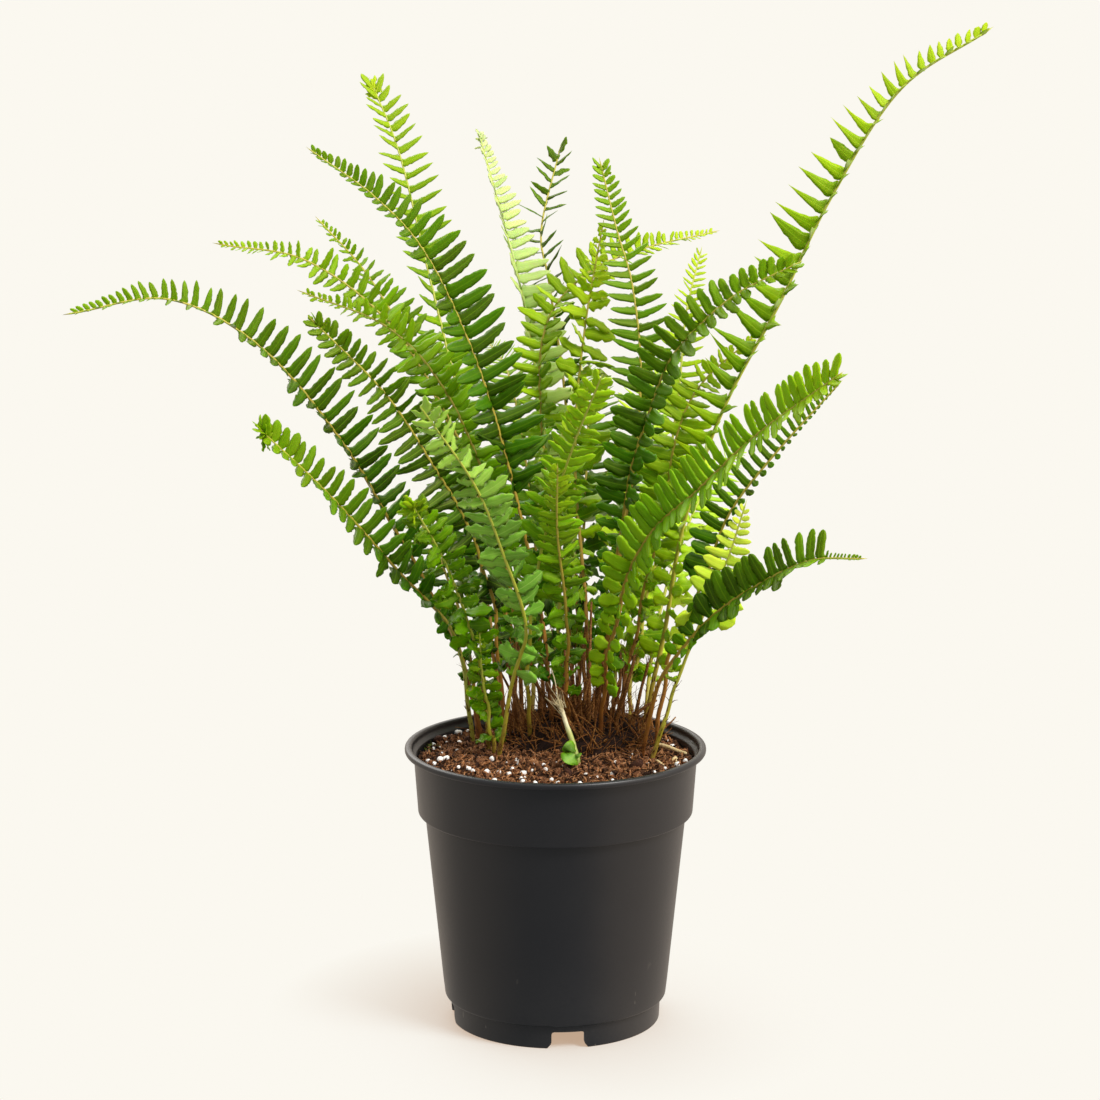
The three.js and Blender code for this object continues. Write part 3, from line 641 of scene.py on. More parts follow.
def crown_body():
    """The mound as one closed body, with the soil's rough skin on its top."""
    angle = compass(CROWN_SIDES)
    share = np.concatenate([[1], np.linspace(1, 0.01, CROWN_RINGS)])[:, None]
    x, y = crown_place(share, angle)
    z = crown_top(x, y) + 1.1 * crumbly(x, y)
    z[0] = CROWN_BOTTOM
    poles = [[CROWN_X, CROWN_Y, CROWN_BOTTOM], [CROWN_X, CROWN_Y, crown_top(CROWN_X, CROWN_Y)]]
    places = np.concatenate([np.stack([x, y, z], -1).reshape(-1, 3), poles])
    return places, tube_faces(len(share), CROWN_SIDES)


def in_crown(count, source, reach=0.98):
    """Random places on the crown, spread evenly over its outline."""
    return crown_place(reach * np.sqrt(source.random(count)), source.uniform(0, 2 * np.pi, count))


def crown_hairs(count, up, half, shortest, longest, bend, source):
    """Wiry roots and scales that start on the crown and point mostly up or mostly out."""
    x, y = in_crown(count, source)
    starts = np.stack([x, y, crown_top(x, y) - 0.8], -1)
    room = SOIL_EDGE - 3 - np.hypot(x, y)
    away = np.stack([x - CROWN_X, y - CROWN_Y, np.zeros(count)], -1) / CROWN_LONG
    ways = source.normal(size=(count, 3)) * 0.55 + away * (1 - up) + [0, 0, 1.6 * up]
    lengths = np.clip(source.uniform(shortest, longest, count), 3, np.maximum(3.1, 0.8 * room))
    return strands(starts, ways, lengths, source.uniform(0.35, 1, count) * half, bend, 9, 4, source)


fibre_brown = earth("root_fibre", "50280a", "a2662a", "dcaa5a", 240.0, 0.85)
# The mat's browns are very dark: its own brown, darkened further as painted shade for the hollow among the
# stalks.
dress(piece("rootstock", *crown_body()), "crown", ["crown"],
      earth("rootstock_mat_painted_shade", "0e0603", "2a1409", "5a3217", 380.0, 0.92))
hairs = crown_hairs(HAIRS, 0.3, 0.5, 6, 19, 0.42, rng)
dress(piece("rootstock_hairs", *hairs), "crown", [], fibre_brown)
uprights = crown_hairs(UPRIGHTS, 0.9, 0.62, 12, 34, 0.24, rng)
dress(piece("upright_fibres", *uprights), "crown", [], fibre_brown)

# Fronds
# Each frond grew as one piece: a wiry stalk, brown at its foot, that runs on as the rachis
# between two rows of leaflets. The rows fold up towards each other and the tips are young.

EYE = np.array([-2.7, -1617.0, 568.0])
FRONT = np.array([0.0, -1.0, 0.2])
ROOT_DEPTH = 128.3
COLLAR_RISE = 3.0
STALK_HALF = 1.25
STEM_SIDES = 8
STEM_STEP = 4.5
LEAF_PITCH = 7.6
PITCH_FOR = 20
NEAR_SOIL = (185, 290)
LOOK_AHEAD = 1.5
FROND_SEED = 100
LEAF_STATIONS = np.array([0, 0.03, 0.07, 0.115, 0.17, 0.24, 0.33, 0.43, 0.53, 0.63, 0.72, 0.8,
                          0.87, 0.925, 0.965, 0.99])
LEAF_ACROSS = np.array([1, 0.5, 0, -0.5, -1, 0])
LEAF_TOP = np.array([0, 1, 0.35, 1, 0, 0])
LEAF_UNDER = np.array([0, 0, 0, 0, 0, 1.3])
LEAF_POINTS = len(LEAF_STATIONS) * len(LEAF_ACROSS) + 2
LEAF_CURVE = 0.085
LEAF_DROOP = 0.055
LEAF_RAGGED = 0.055
LEAF_TEETH = 0.03
LEAF_ARCH = 0.075
LEAF_LEAN = -9
CHAFF = 26
CHAFF_HEIGHT = 42


class Frond:
    """The facts of one frond, in millimetres and degrees. The values here are the usual ones, and
    a frond's own line in the table names those that differ."""

    in_order = ("name", "tone", "root", "tip_depth", "leaf", "last_leaf", "bare", "fold", "turn",
                "lift", "blunt", "pitch", "broad", "least_loose", "looseness", "route")
    look = None          # the tone that it looks like in its own light
    lowest = 172         # how high its lowest leaflets stand
    low_leaf = 8.8       # how long the round leaflets near the soil are
    low_painted_light = 0         # painted light on the leaflets low on it, which stand in shade: how much lighter they are
    slim = 1             # how round those leaflets are
    thread = 2           # the share of its length before a bare curved thread, below 1 if it has one
    tip_age = 1          # how young its tip looks
    tip_half = 0.42      # how thick its rachis is at the tip, as a half width
    row_start = (0, 0)   # where on its length each of its two rows starts
    row_size = (1, 1)    # how large each row's leaflets look, where a side is turned away
    bunch = None         # a bunch of leaflets at its tip: their length, spread and number
    stem = "brown"       # the skin of its stalk

    def __init__(self, *facts, **own):
        for name, value in [*zip(self.in_order, facts), *own.items()]:
            setattr(self, name, value)


# In order: name, tone, x and y of the foot, the tip's depth, the longest leaflet, the last leaflet
# as a share of it, the share of the length that is bare, and the fold and the turn of the rows.
# Then how much lighter than its tone a frond is, how blunt its leaflets end, how far apart they
# stand, how much broader they are, how loose they are at least, and how much of the usual
# looseness they have. Then the rachis above the soil as seen from the front, as x and z.
FRONDS = [
    Frond("far_left_arch", "deep", (-38, 30), -15, 19, 0.14, 0.2, 42, 43, -0.3, 0.35, 0.98, 0, 0.03, 0.6,
          [(-50, 196), (-77, 247), (-107, 299), (-146, 345), (-190, 368), (-238, 361)], lowest=200,
          low_leaf=7.8, slim=0.6, tip_half=0.5),
    Frond("low_left", "young", (-42, 16), -60, 15.68, 0.6, 0.24, 38, 38, -0.1, 0.45, 1.04, 0.05, 0.03, 0.5,
          [(-50, 197), (-78, 231), (-112, 270), (-146, 303)], look="deep", lowest=206, low_leaf=6.4,
          slim=0.4, bunch=(9, 120, 9), stem="fading"),
    Frond("left_high", "mid", (-20, 38), 70, 15, 0.14, 0.3, 28, 28, 0, 0.55, 0.98, 0.03, 0.3, 1,
          [(-25, 207), (-42, 283), (-77, 350), (-120, 386), (-164, 395)]),
    Frond("left_hooked", "mid", (-24, 42), 95, 16, 0.14, 0.3, 30, 28, -0.1, 0.6, 1, 0, 0.3, 1,
          [(-20, 191), (-42, 278), (-72, 345), (-93, 381), (-115, 406)], look="deep"),
    Frond("tall_left", "deep", (-2, 22), 0, 23, 0.14, 0.24, 38, 38, -0.15, 0.45, 0.95, 0, 0, 1,
          [(-7, 207), (-24, 288), (-42, 345), (-64, 391), (-88, 418), (-118, 440)], low_painted_light=0.1,
          tip_age=0.85),
    Frond("tall_left_back", "young", (-12, 50), 165, 20, 0.5, 0.3, 34, 26, -0.75, 0.1, 1.15, -0.01, 0, 1,
          [(-13, 191), (-35, 278), (-50, 330), (-62, 380), (-76, 439), (-89, 473)], tip_age=0.85,
          bunch=(7, 95, 9), stem="green"),
    Frond("left_middle", "mid", (-17, 28), 35, 16, 0.14, 0.28, 30, 26, 0.5, 0.5, 0.98, 0.03, 0.4, 1,
          [(-20, 207), (-37, 283), (-58, 328), (-84, 355), (-123, 371)]),
    Frond("left_dark", "deep", (-27, 20), -25, 18, 0.4, 0.24, 26, 8, -0.6, 0.5, 0.9, -0.03, 0.2, 1,
          [(-30, 207), (-43, 253), (-60, 284), (-84, 321), (-119, 357)], lowest=178, slim=0.7,
          tip_age=0.8, bunch=(6.5, 75, 5)),
    Frond("pale_back", "pale", (2, 48), 188, 20, 0.14, 0.3, 40, 46, 0.2, 0.3, 0.98, 0.3, 0.1, 0.8,
          [(2, 207), (0, 258), (-7, 313), (-16, 368), (-26, 408), (-37, 448)], bunch=(5, 70, 7),
          stem="green"),
    Frond("narrow_back", "deep", (12, 52), 220, 17.25, 0.6, 0.36, 26, -22, -0.6, 0, 1.35, -0.05, 0.45, 1,
          [(12, 207), (7, 265), (5, 318), (-3, 375), (-7, 402), (2, 441)], tip_age=0.7),
    Frond("tall_middle", "mid", (22, 38), 112, 17, 0.34, 0.28, 22, 8, 0, 0.3, 0.95, 0, 0, 1,
          [(28, 215), (37, 270), (42, 328), (38, 373), (30, 402), (22, 434)], look="deep",
          bunch=(4.5, 70, 6)),
    Frond("back_arch", "young", (9, 58), 156, 15, 0.14, 0.34, 34, -30, -0.2, 0.5, 0.95, 0.08, 0.25, 1,
          [(6, 215), (-6, 293), (-6, 350), (12, 378), (40, 392), (77, 401)]),
    Frond("middle_back", "mid", (17, 44), 105, 18, 0.14, 0.3, 26, 10, -0.1, 0.5, 1.1, 0.2, 0.75, 1,
          [(16, 207), (11, 258), (10, 308), (15, 358), (23, 404)], look="young"),
    Frond("right_back", "young", (38, 52), 160, 13, 0.34, 0.34, 24, 0, -0.1, 0.3, 1, 0, 0, 1,
          [(43, 200), (54, 270), (61, 323), (64, 360), (71, 391)], lowest=162, low_leaf=11, stem="green"),
    Frond("far_right_tall", "mid", (46, 34), 50, 24, 0.2, 0.24, 46, -47, -0.15, -0.9, 1.22, 0.2, 0.03, 0.3,
          [(52, 190), (66, 262), (85, 318), (110, 366), (134, 417), (167, 470), (208, 498)], look="young",
          lowest=178, low_painted_light=0.5, tip_half=0.68, stem="green"),
    Frond("right_arch", "deep", (25, 30), -10, 18, 0.4, 0.26, 35, -32, 0.1, 0.9, 0.96, 0.02, 0.1, 0.8,
          [(27, 210), (36, 275), (52, 328), (64, 348), (88, 370), (117, 385)], low_painted_light=0.4),
    Frond("right_middle", "mid", (32, 44), 60, 17, 0.14, 0.3, 26, -10, -0.5, 0.5, 0.95, 0.08, 0.4, 1,
          [(40, 200), (52, 255), (60, 300), (72, 326), (97, 349)], look="young", low_painted_light=0.8),
    Frond("right_front", "mid", (23, 12), -120, 17, 0.7, 0.2, 34, -38, 0.45, 1, 0.8, -0.08, 0.05, 0.35,
          [(27, 190), (42, 243), (72, 274), (100, 301), (139, 330)], low_painted_light=0.8, tip_half=0.5),
    Frond("right_dark", "deep", (51, 13), -8, 15, 0.14, 0.18, 30, -26, -0.15, 0.7, 0.95, -0.04, 0, 0.5,
          [(57, 185), (74, 226), (86, 260), (108, 290), (139, 325)], lowest=226, low_leaf=7.6,
          tip_age=0.75, row_start=(0.42, 0.42), row_size=(0.4, 1)),
    Frond("low_right", "deep", (44, 3), -80, 15.6, 0.14, 0.34, 41, -41, -0.5, 1, 0.84, -0.01, 0, 0.15,
          [(53, 176), (76, 206), (100, 224), (127, 237), (152, 238)], look="mid", lowest=192,
          low_leaf=8.6, low_painted_light=0.9, tip_age=0.8, thread=0.875, tip_half=0.5),
    Frond("pale_right", "pale", (49, -6), -16, 16.8, 0.14, 0.3, 20, 0, 0.2, 0.5, 1, 0.1, 0, 1,
          [(58, 165), (67, 191), (76, 214), (86, 238), (94, 264)], look="lime", lowest=207,
          row_start=(0.55, 0), stem="green"),
    Frond("centre_front", "young", (-13, 14), -95, 15, 0.5, 0.2, -20, 0, 0.35, 0.5, 1, 0.06, 0.5, 1,
          [(-14, 180), (-10, 227), (0, 268), (10, 298), (22, 328)], look="mid", lowest=178, stem="green"),
    Frond("centre_small", "mid", (6, 10), -64, 12, 0.4, 0.26, -16, 0, -0.1, 0.5, 0.95, 0.06, 0.55, 1,
          [(6, 180), (5, 215), (1, 250), (1, 283)], low_painted_light=0.4),
    Frond("left_front", "mid", (-28, -6), -100, 14, 0.6, 0.3, -20, -6, 0.25, 0.35, 1, 0.16, 0.75, 1,
          [(-20, 180), (-15, 205), (-26, 240), (-40, 275), (-65, 312)], look="mint", lowest=184,
          low_leaf=11.5, low_painted_light=0.2, stem="green"),
    Frond("young_left", "mid", (-34, 12), -40, 13, 0.6, 0.2, 28, 10, 0.1, 0.8, 1.05, 0.25, 0.8, 1,
          [(-37, 180), (-46, 212), (-57, 240), (-71, 265)], lowest=158, low_leaf=10, tip_age=0.6,
          bunch=(9, 120, 9), stem="green"),
    Frond("sprout_left", "mid", (-31, 4), -8, 8, 0.14, 0.2, 15, 0, 0.1, 0.9, 1.2, 0.25, 0.8, 1,
          [(-34, 160), (-37, 180), (-38, 200)], lowest=144, low_leaf=9, stem="green"),
    Frond("rear_left", "deep", (-28, 52), 180, 19, 0.14, 0.24, 26, 0, 0, 0.4, 0.92, 0, 0, 1,
          [(-34, 215), (-44, 266), (-56, 300), (-70, 312)], lowest=170),
    Frond("rear_middle_left", "mid", (-5, 60), 240, 20, 0.14, 0.24, 26, 0, 0, 0.4, 0.92, 0, 0, 1,
          [(-8, 215), (-14, 282), (-23, 330), (-33, 347)]),
    Frond("rear_middle", "deep", (12, 62), 270, 20, 0.14, 0.24, 26, 0, 0, 0.4, 0.92, 0, 0, 1,
          [(12, 212), (15, 274), (16, 318), (12, 337)]),
    Frond("rear_middle_right", "mid", (30, 58), 240, 19, 0.14, 0.24, 26, 0, 0, 0.4, 0.92, 0, 0, 1,
          [(32, 214), (39, 274), (45, 316), (54, 336)], look="lime", lowest=164, low_leaf=11, tip_age=0.5,
          stem="green"),
    Frond("rear_right", "mid", (46, 48), 176, 19.55, 0.14, 0.24, 26, 0, 0, 0.4, 0.92, 0, 0, 1,
          [(50, 200), (62, 244), (76, 276), (92, 292)], look="lime", lowest=162, low_leaf=11, tip_age=0.5,
          stem="green"),
    Frond("rear_low_left", "deep", (-40, 38), 105, 16, 0.14, 0.24, 26, 0, 0, 0.4, 0.92, 0, 0, 1,
          [(-44, 196), (-54, 228), (-64, 252), (-77, 262)], lowest=160),
]


def smoothstep(value, low, high):
    """0 below low, 1 above high, and three t squared minus two t cubed between them."""
    t = np.clip((value - low) / (high - low), 0, 1)
    return t * t * (3 - 2 * t)


def through(points, samples=60):
    """A smooth line through points: on each stretch a cubic whose slope at a point is half the
    way from the point before to the point after. It ends in a straight run of the same step."""
    p = np.concatenate([2 * points[:1] - points[1:2], points, 2 * points[-1:] - points[-2:-1]])
    a, b, c, d = (p[i:len(p) - 3 + i, None] for i in range(4))
    t = np.linspace(0, 1, samples, endpoint=False)[None, :, None]
    cubic = b + 0.5 * t * (c - a + t * (2 * a - 5 * b + 4 * c - d + t * (3 * b - a - 3 * c + d)))
    return np.concatenate([cubic.reshape(-1, 3), points[-1:]])


def collar(x, y):
    """Where a stalk comes out of the ground: a collar's height above it."""
    return np.array([x, y, float(ground_top(float(x), float(y))) + COLLAR_RISE])


def frond_line(frond, source):
    """The stalk's line from its foot in the soil to the tip, and the length along it. Each route
    point is moved back along its line of sight from the eye, to a depth that grows from the
    root's to the tip's. The lower half is a little crooked: two sines of the share, under a hump."""
    x, y = frond.root
    flat = np.array([(across, 0.0, up) for across, up in frond.route])
    share = (np.arange(1, len(flat) + 1) / len(flat)) ** 1.25
    depth = y + (frond.tip_depth - y) * share
    above = EYE + (flat - EYE) * ((depth - EYE[1]) / -EYE[1])[:, None]
    line = through(np.concatenate([collar(x, y)[None], above]))
    share = np.linspace(0, 1, len(line))[:, None]
    hump = smoothstep(share, 0, 0.06) * (1 - smoothstep(share, 0.2, 0.6))
    sway, phase = source.normal(0, 0.5, (2, 3)), source.uniform(0, 6, (2, 3))
    line += hump * (sway[0] * np.sin(17 * share + phase[0]) + sway[1] * np.sin(41 * share + phase[1]))
    length = np.concatenate([[0], np.cumsum(np.linalg.norm(np.diff(line, axis=0), axis=1))])
    return line, length


def frames(line, length, at, turn):
    """At arc lengths along a line: the place, the way on, the direction of the face, which looks
    to the front and is turned about the way on, and the direction to the face's right."""
    place, ahead, back = (np.stack([np.interp(where, length, line[:, k]) for k in range(3)], -1)
                          for where in (at, at + LOOK_AHEAD, at - LOOK_AHEAD))
    way = unit(ahead - back)
    face = unit(FRONT - way * (way @ FRONT)[:, None])
    side = np.cross(way, face)
    angle = np.radians(turn)[:, None]
    face, side = face * np.cos(angle) + side * np.sin(angle), side * np.cos(angle) - face * np.sin(angle)
    return place, way, face, side


def stem_tube(place, face, side, half):
    """The stalk: a ring of eight points at each place, with a shallow groove along its face."""
    angle = compass(STEM_SIDES) + np.pi / STEM_SIDES
    upper = np.sin(angle) > 0.9
    right = np.cos(angle) * np.where(upper, 0.86, 1.0)
    up = np.sin(angle) * np.where(upper, 0.82, 1.0) * np.where(upper, 0.86, 1.0)
    half = half[:, None, None]
    ring = place[:, None] - side[:, None] * right[:, None] * half + face[:, None] * up[:, None] * half
    ends = np.stack([place[0], 2 * place[-1] - place[-2]])
    return np.concatenate([ring.reshape(-1, 3), ends]), tube_faces(len(place), STEM_SIDES)


def leaf_row(place, way, out, length, width, blunt, loose, source, flipped):
    """One row of leaflets. Each is a closed blade along out: its half width is a root of u at
    the base times one minus a power of u, rounder the blunter it is, with an ear towards the
    frond's tip. It curves that way by the square of u. Two arched halves meet in a groove. The
    edges are ragged, lobed and waved, and the blade is twisted, more so where it is loose.
    Returns places, faces, and each point's marks: along, off rib, under."""
    count = len(place)

    def chance(middle=0, spread=1):
        """One normal random number for each leaflet."""
        return source.normal(middle, spread, (count, 1, 1))

    u = LEAF_STATIONS[None, :, None]
    v = LEAF_ACROSS[None, None, :]
    span, wide, free = (values[:, None, None] for values in (length, width, loose))
    at_edge = np.abs(v) > 0.9
    plump = smoothstep(width / length, 0.3, 0.75)[:, None, None]
    round_end = blunt + plump * (1 - blunt)
    outline = (1 - u ** (3.6 + 2.6 * round_end)) ** (0.76 - 0.26 * round_end)
    foot = np.minimum(1, (u + 0.018) / (0.08 + 0.46 * plump)) ** (0.55 + 0.25 * plump)
    outline = outline * foot * (1 - 0.24 * u * (1 - round_end))
    ear = (0.46 - 0.28 * plump) * np.exp(-(((u - 0.085) / 0.06) ** 2)) * (v > 0)
    phase = source.random((count, 1, len(LEAF_ACROSS)))
    lobes = 1 - 4 * np.abs((source.uniform(1.6, 3.4, (count, 1, 1)) * u + phase) % 1 - 0.5)
    ragged = source.normal(size=(count, len(LEAF_STATIONS), len(LEAF_ACROSS))) * LEAF_RAGGED
    teeth = LEAF_TEETH * np.cos(np.pi * np.arange(len(LEAF_STATIONS)))[None, :, None]
    uneven = 1 + (ragged + teeth + (0.03 + 0.3 * free) * lobes) * at_edge
    half = 0.5 * wide * (outline + ear) * uneven
    curve = chance(LEAF_CURVE, 0.03) * span * u**1.9
    droop = (LEAF_DROOP + chance() * (0.05 + 0.17 * free)) * span * u**2
    wave = np.sin(2 * np.pi * (source.uniform(1.2, 2.8, (count, 1, 1)) * u + phase)) * at_edge
    cup = chance() * (0.04 + 0.12 * free) * wide * v**2
    arch = LEAF_ARCH * wide * outline
    lift = arch * (LEAF_TOP - 0.75 * v**2) - 0.16 * LEAF_UNDER * np.sqrt(outline)
    lift = lift + cup * outline + (0.04 + 0.09 * free) * wide * wave * outline
    twist = np.radians(chance() * (7 + 34 * free)) * u
    cross = half * v
    along = span * (u - 0.02 * np.abs(v))
    across = curve + cross * np.cos(twist) - lift * np.sin(twist)
    height = cross * np.sin(twist) + lift * np.cos(twist) - droop
    lean = np.radians(LEAF_LEAN + source.normal(0, 1, count) * (7 + 24 * loose))[:, None]
    chord = unit(way - out * np.sum(way * out, 1, keepdims=True))
    up = np.cross(out, chord) * (-1 if flipped else 1)
    chord, up = chord * np.cos(lean) + up * np.sin(lean), up * np.cos(lean) - chord * np.sin(lean)
    body = (place[:, None, None] + out[:, None, None] * along[..., None]
            + chord[:, None, None] * across[..., None] + up[:, None, None] * height[..., None])
    tip = body[:, -1].mean(1) + out * (0.012 * length)[:, None]
    places = np.concatenate([body.reshape(count, -1, 3), (place - out * 0.3)[:, None], tip[:, None]], 1)
    faces = copies(tube_faces(len(LEAF_STATIONS), len(LEAF_ACROSS), flipped), count, LEAF_POINTS)
    marks = np.zeros((3, count, LEAF_POINTS))
    for mark, values in zip(marks, (along, cross, LEAF_UNDER > 0)):
        mark[:, :-2] = np.broadcast_to(values, half.shape).reshape(count, -1)
    marks[0, :, -1] = length
    return places.reshape(-1, 3), faces, marks.reshape(3, -1)


def leaf_rows(line, length, frond, source):
    """Both rows of one frond. The leaflets stand a pitch apart, and closer where they are
    shorter. They are small, round and loose low on the stalk, longest in the middle, and small
    again at the tip, where some fronds end in a bunch. Returns shapes, and each one's marks."""
    leaf, bare, total = frond.leaf, frond.bare, length[-1]
    low = np.interp(frond.lowest, line[:, 2], length / total)
    at = np.linspace(min(low, 0.9 * bare), 0.998, 500)
    share = (at - bare) / (1 - bare)
    height = np.interp(at, length / total, line[:, 2])
    near_soil = (1 - smoothstep(height, *NEAR_SOIL)) * (1 - smoothstep(share, 0.3, 0.65))
    round_leaf = frond.slim * np.maximum(1 - smoothstep(share, -0.08, 0.2), 0.9 * near_soil)
    fade = 1 - (0.95 - max(frond.last_leaf, 0.8 * (frond.thread < 1))) * smoothstep(share, 0.55, 1.04)
    reach = leaf * (0.48 + 0.52 * smoothstep(share, -0.02, 0.3)) * fade
    reach = np.maximum(reach, frond.low_leaf * round_leaf * (1 - smoothstep(share, 0.6, 1)))
    reach = reach * (1 - 0.8 * smoothstep(at, frond.thread, frond.thread + 0.02))
    crowd = np.where(share < 0.4, 1.0, 0.24 + 0.76 * np.minimum(1, reach / leaf))
    pitch = LEAF_PITCH * frond.pitch * (leaf / PITCH_FOR) ** 0.4 * crowd * (1 + 0.25 * near_soil)
    steps = np.concatenate([[0], np.cumsum(np.diff(at) * total / (0.5 * (pitch[1:] + pitch[:-1])))])
    wide = reach * (0.25 + 0.1 * frond.blunt + frond.broad + (0.52 - frond.broad) * round_leaf
                    + 0.22 * smoothstep(share, 0.75, 1))
    wide = np.minimum(wide, (0.98 + 0.35 * round_leaf) * pitch)
    freedom = np.maximum(1 - smoothstep(share, 0.05, 0.45), 0.85 * near_soil)
    freedom = np.maximum(frond.least_loose, frond.looseness * freedom)
    shapes, marks = [], []

    def add(place, way, out, size, width, blunt, loose, flipped, climb, lift=0):
        """One more row, and what its points are marked with."""
        places, faces, blade = leaf_row(place, way, out, size, width, blunt, loose, source, flipped)
        shapes.append((places, faces))
        # Each leaflet's own tone, raised by the lift given: the frond's lift, and low on some fronds
        # painted light.
        each = source.random(len(place)) + lift
        marks.append(np.concatenate([blade, np.repeat([each, climb], LEAF_POINTS, 1)]))

    for row, (sign, lag) in enumerate(((1, 0.0), (-1, 0.42))):
        where = np.interp(np.arange(lag, steps[-1], 1.0), steps, at)
        where = where[where > frond.row_start[row]]
        count = len(where)
        turn = frond.turn * np.minimum(1, where / bare)
        place, way, face, side = frames(line, length, where * total, turn)
        loose = np.interp(where, at, freedom)
        rise = np.radians(frond.fold + source.normal(0, 1, count) * (5 + 20 * loose))[:, None]
        forward = 0.1 + 0.3 * smoothstep(where, 0.75, 1) + 0.8 * smoothstep(where, 0.95, 1)
        forward = forward + source.normal(0, 1, count) * (0.05 + 0.2 * loose)
        out = unit(sign * side * np.cos(rise) + face * np.sin(rise) + way * forward[:, None])
        size = np.interp(where, at, reach) * source.normal(1, 0.06 + 0.09 * loose, count)
        width = np.interp(where, at, wide) * source.normal(1, 0.05 + 0.08 * loose, count)
        # Low on the frond each leaflet's tone also gets painted light, for leaflets that stand in shade.
        add(place, way, out, size * frond.row_size[row], width, frond.blunt, loose, sign < 0,
            where * frond.tip_age, frond.lift + frond.low_painted_light * (1 - smoothstep(where, 0.15, 0.6)))
    if frond.bunch:
        size, spread, count = frond.bunch
        where = source.uniform(0.972, 0.999, count)
        place, way, face, side = frames(line, length, where * total, np.full(count, frond.turn))
        angle = np.radians(np.linspace(-spread, spread, count) + source.normal(0, 8, count))[:, None]
        out = unit(way * np.cos(angle) + side * np.sin(angle) + face * source.normal(0.1, 0.3, (count, 1)))
        size = size * source.uniform(0.7, 1.05, count)
        add(place, way * np.sin(angle) - side * np.cos(angle), out, size, 0.34 * size, 1,
            np.ones(count), False, where)
    return shapes, marks


def own_marks(tree, name):
    """The three values of one of the piece's own attributes."""
    values = node(tree, "Attribute", attribute_name=name).outputs["Vector"]
    return node(tree, "SeparateXYZ", Vector=values).outputs


def green(tone, deep, usual, light, rib):
    """A leaflet's skin: green that varies from one leaflet to the next, darker near its base at the
    rachis as painted shade, and paler towards the frond's tip, with a light midrib, faint side veins, a
    paler underside and a satin surface. Where a frond is lifted above its tone it is lighter still, and
    low on some fronds that lift is painted light. The blade lets some light through."""
    finish, tree, shader = material("leaf_" + tone)
    each, climb, under = own_marks(tree, "growth")
    along, off_rib, _ = own_marks(tree, "blade")
    off_rib = math_of("ABSOLUTE", off_rib)
    broad, fine = mottled(tree, 70.0, 9.0)
    uneven = math_of("SUBTRACT", math_of("MULTIPLY_ADD", each, 0.95, broad), 0.4, clamp=True)
    shade = blend_of(uneven, deep, usual)
    # Painted shade: each leaflet is darker near its base at the rachis, where the leaflets crowd.
    painted_shade_at_rachis = clamped(along, -1 / 5, 1.0)
    shade = blend_of(scaled(painted_shade_at_rachis, 0.45), shade, deep)
    # Above its usual green a leaflet goes towards the light green: by its frond's lift, and low on some
    # fronds by painted light.
    bright = clamped(each, 1.0, -1.0)
    shade = blend_of(scaled(bright, 0.7), shade, light)
    young = math_of("POWER", climb, 3.0)
    shade = blend_of(clamped(young, 0.85), shade, light)
    shade = blend_of(scaled(under, 0.5), shade, "9cba78")
    stripe = math_of("PINGPONG", math_of("SUBTRACT", along, off_rib), 0.62)
    vein = clamped(stripe, -1 / 0.2, 1.0)
    midrib = clamped(off_rib, -1 / 0.3, 1.0)
    ribs = math_of("MAXIMUM", midrib, scaled(vein, 0.22))
    shade = blend_of(scaled(ribs, 0.55), shade, rib)
    raised = math_of("MULTIPLY_ADD", vein, -0.5, fine)
    raised = math_of("MULTIPLY_ADD", midrib, -0.6, raised)
    feed(shader, Base_Color=shade, Roughness=scaled(fine, 0.22, 0.27), Normal=relief(raised, 0.5, 0.25),
         Specular_IOR_Level=0.34, Specular_Tint=(0.95, 1.0, 0.3, 1), Subsurface_Weight=0.3,
         Subsurface_Radius=(0.55, 1.0, 0.25), Subsurface_Scale=1.6 * MM)
    return finish


def stem_skin(name, foot, low, middle, high):
    """A stalk's skin: brown at its foot and greener as it climbs, with dark flecks and streaks."""
    finish, tree, shader = material(name)
    broad, fine = mottled(tree, 180.0, 5.0)
    climb = own_marks(tree, "growth")["Y"]
    level = math_of("MULTIPLY_ADD", broad, 0.16, scaled(climb, 1.0, -0.08))
    shade = ramp(level, (0.0, foot), (0.13, low), (0.42, middle), (0.95, high))
    shade = blend_of(scaled(clamped(fine, 3.0, -1.75), 0.5), shade, foot)
    feed(shader, Base_Color=shade, Roughness=0.5, Normal=relief(fine, 0.4, 0.3),
         Subsurface_Weight=0.15, Subsurface_Radius=(0.8, 0.8, 0.3), Subsurface_Scale=1.0 * MM)
    return finish


LEAF_GREENS = {tone: green(tone, *shades) for tone, *shades in (
    ("deep", "0a2800", "336e00", "88ac0a", "749612"), ("mid", "1a4600", "669e00", "a2c210", "92b216"),
    ("young", "467800", "96bc02", "bed61e", "b8ca2a"), ("pale", "82a83a", "b8d264", "dcecaa", "c8da8a"),
    ("lime", "84b406", "c0e226", "e0f058", "d4e254"), ("mint", "226010", "70aa34", "b0ce54", "a2c45a"))}
STEM_SKINS = {kind: stem_skin(kind + "_stem", *shades) for kind, *shades in (
    ("green", "8f7424", "aca42a", "b4b836", "bcc44a"), ("fading", "9c9434", "bcc052", "967c20", "b4b43c"),
    ("brown", "7a4818", "ac7428", "a8922a", "bcb440"))}


def keep_marks(thing, marks):
    """Each point's marks as two attributes. Growth holds the leaflet's own tone, with painted light
    added low on some fronds, how far up the frond it is, and whether it is under. Blade holds the way
    along it and off its rib."""
    along, off_rib, under, each, climb = marks
    for name, values in (("growth", (each, climb, under)), ("blade", (along, off_rib, 0 * along))):
        layer = thing.data.attributes.new(name, "FLOAT_VECTOR", "POINT")
        layer.data.foreach_set("vector", np.stack(values, -1).astype(np.float32).ravel())


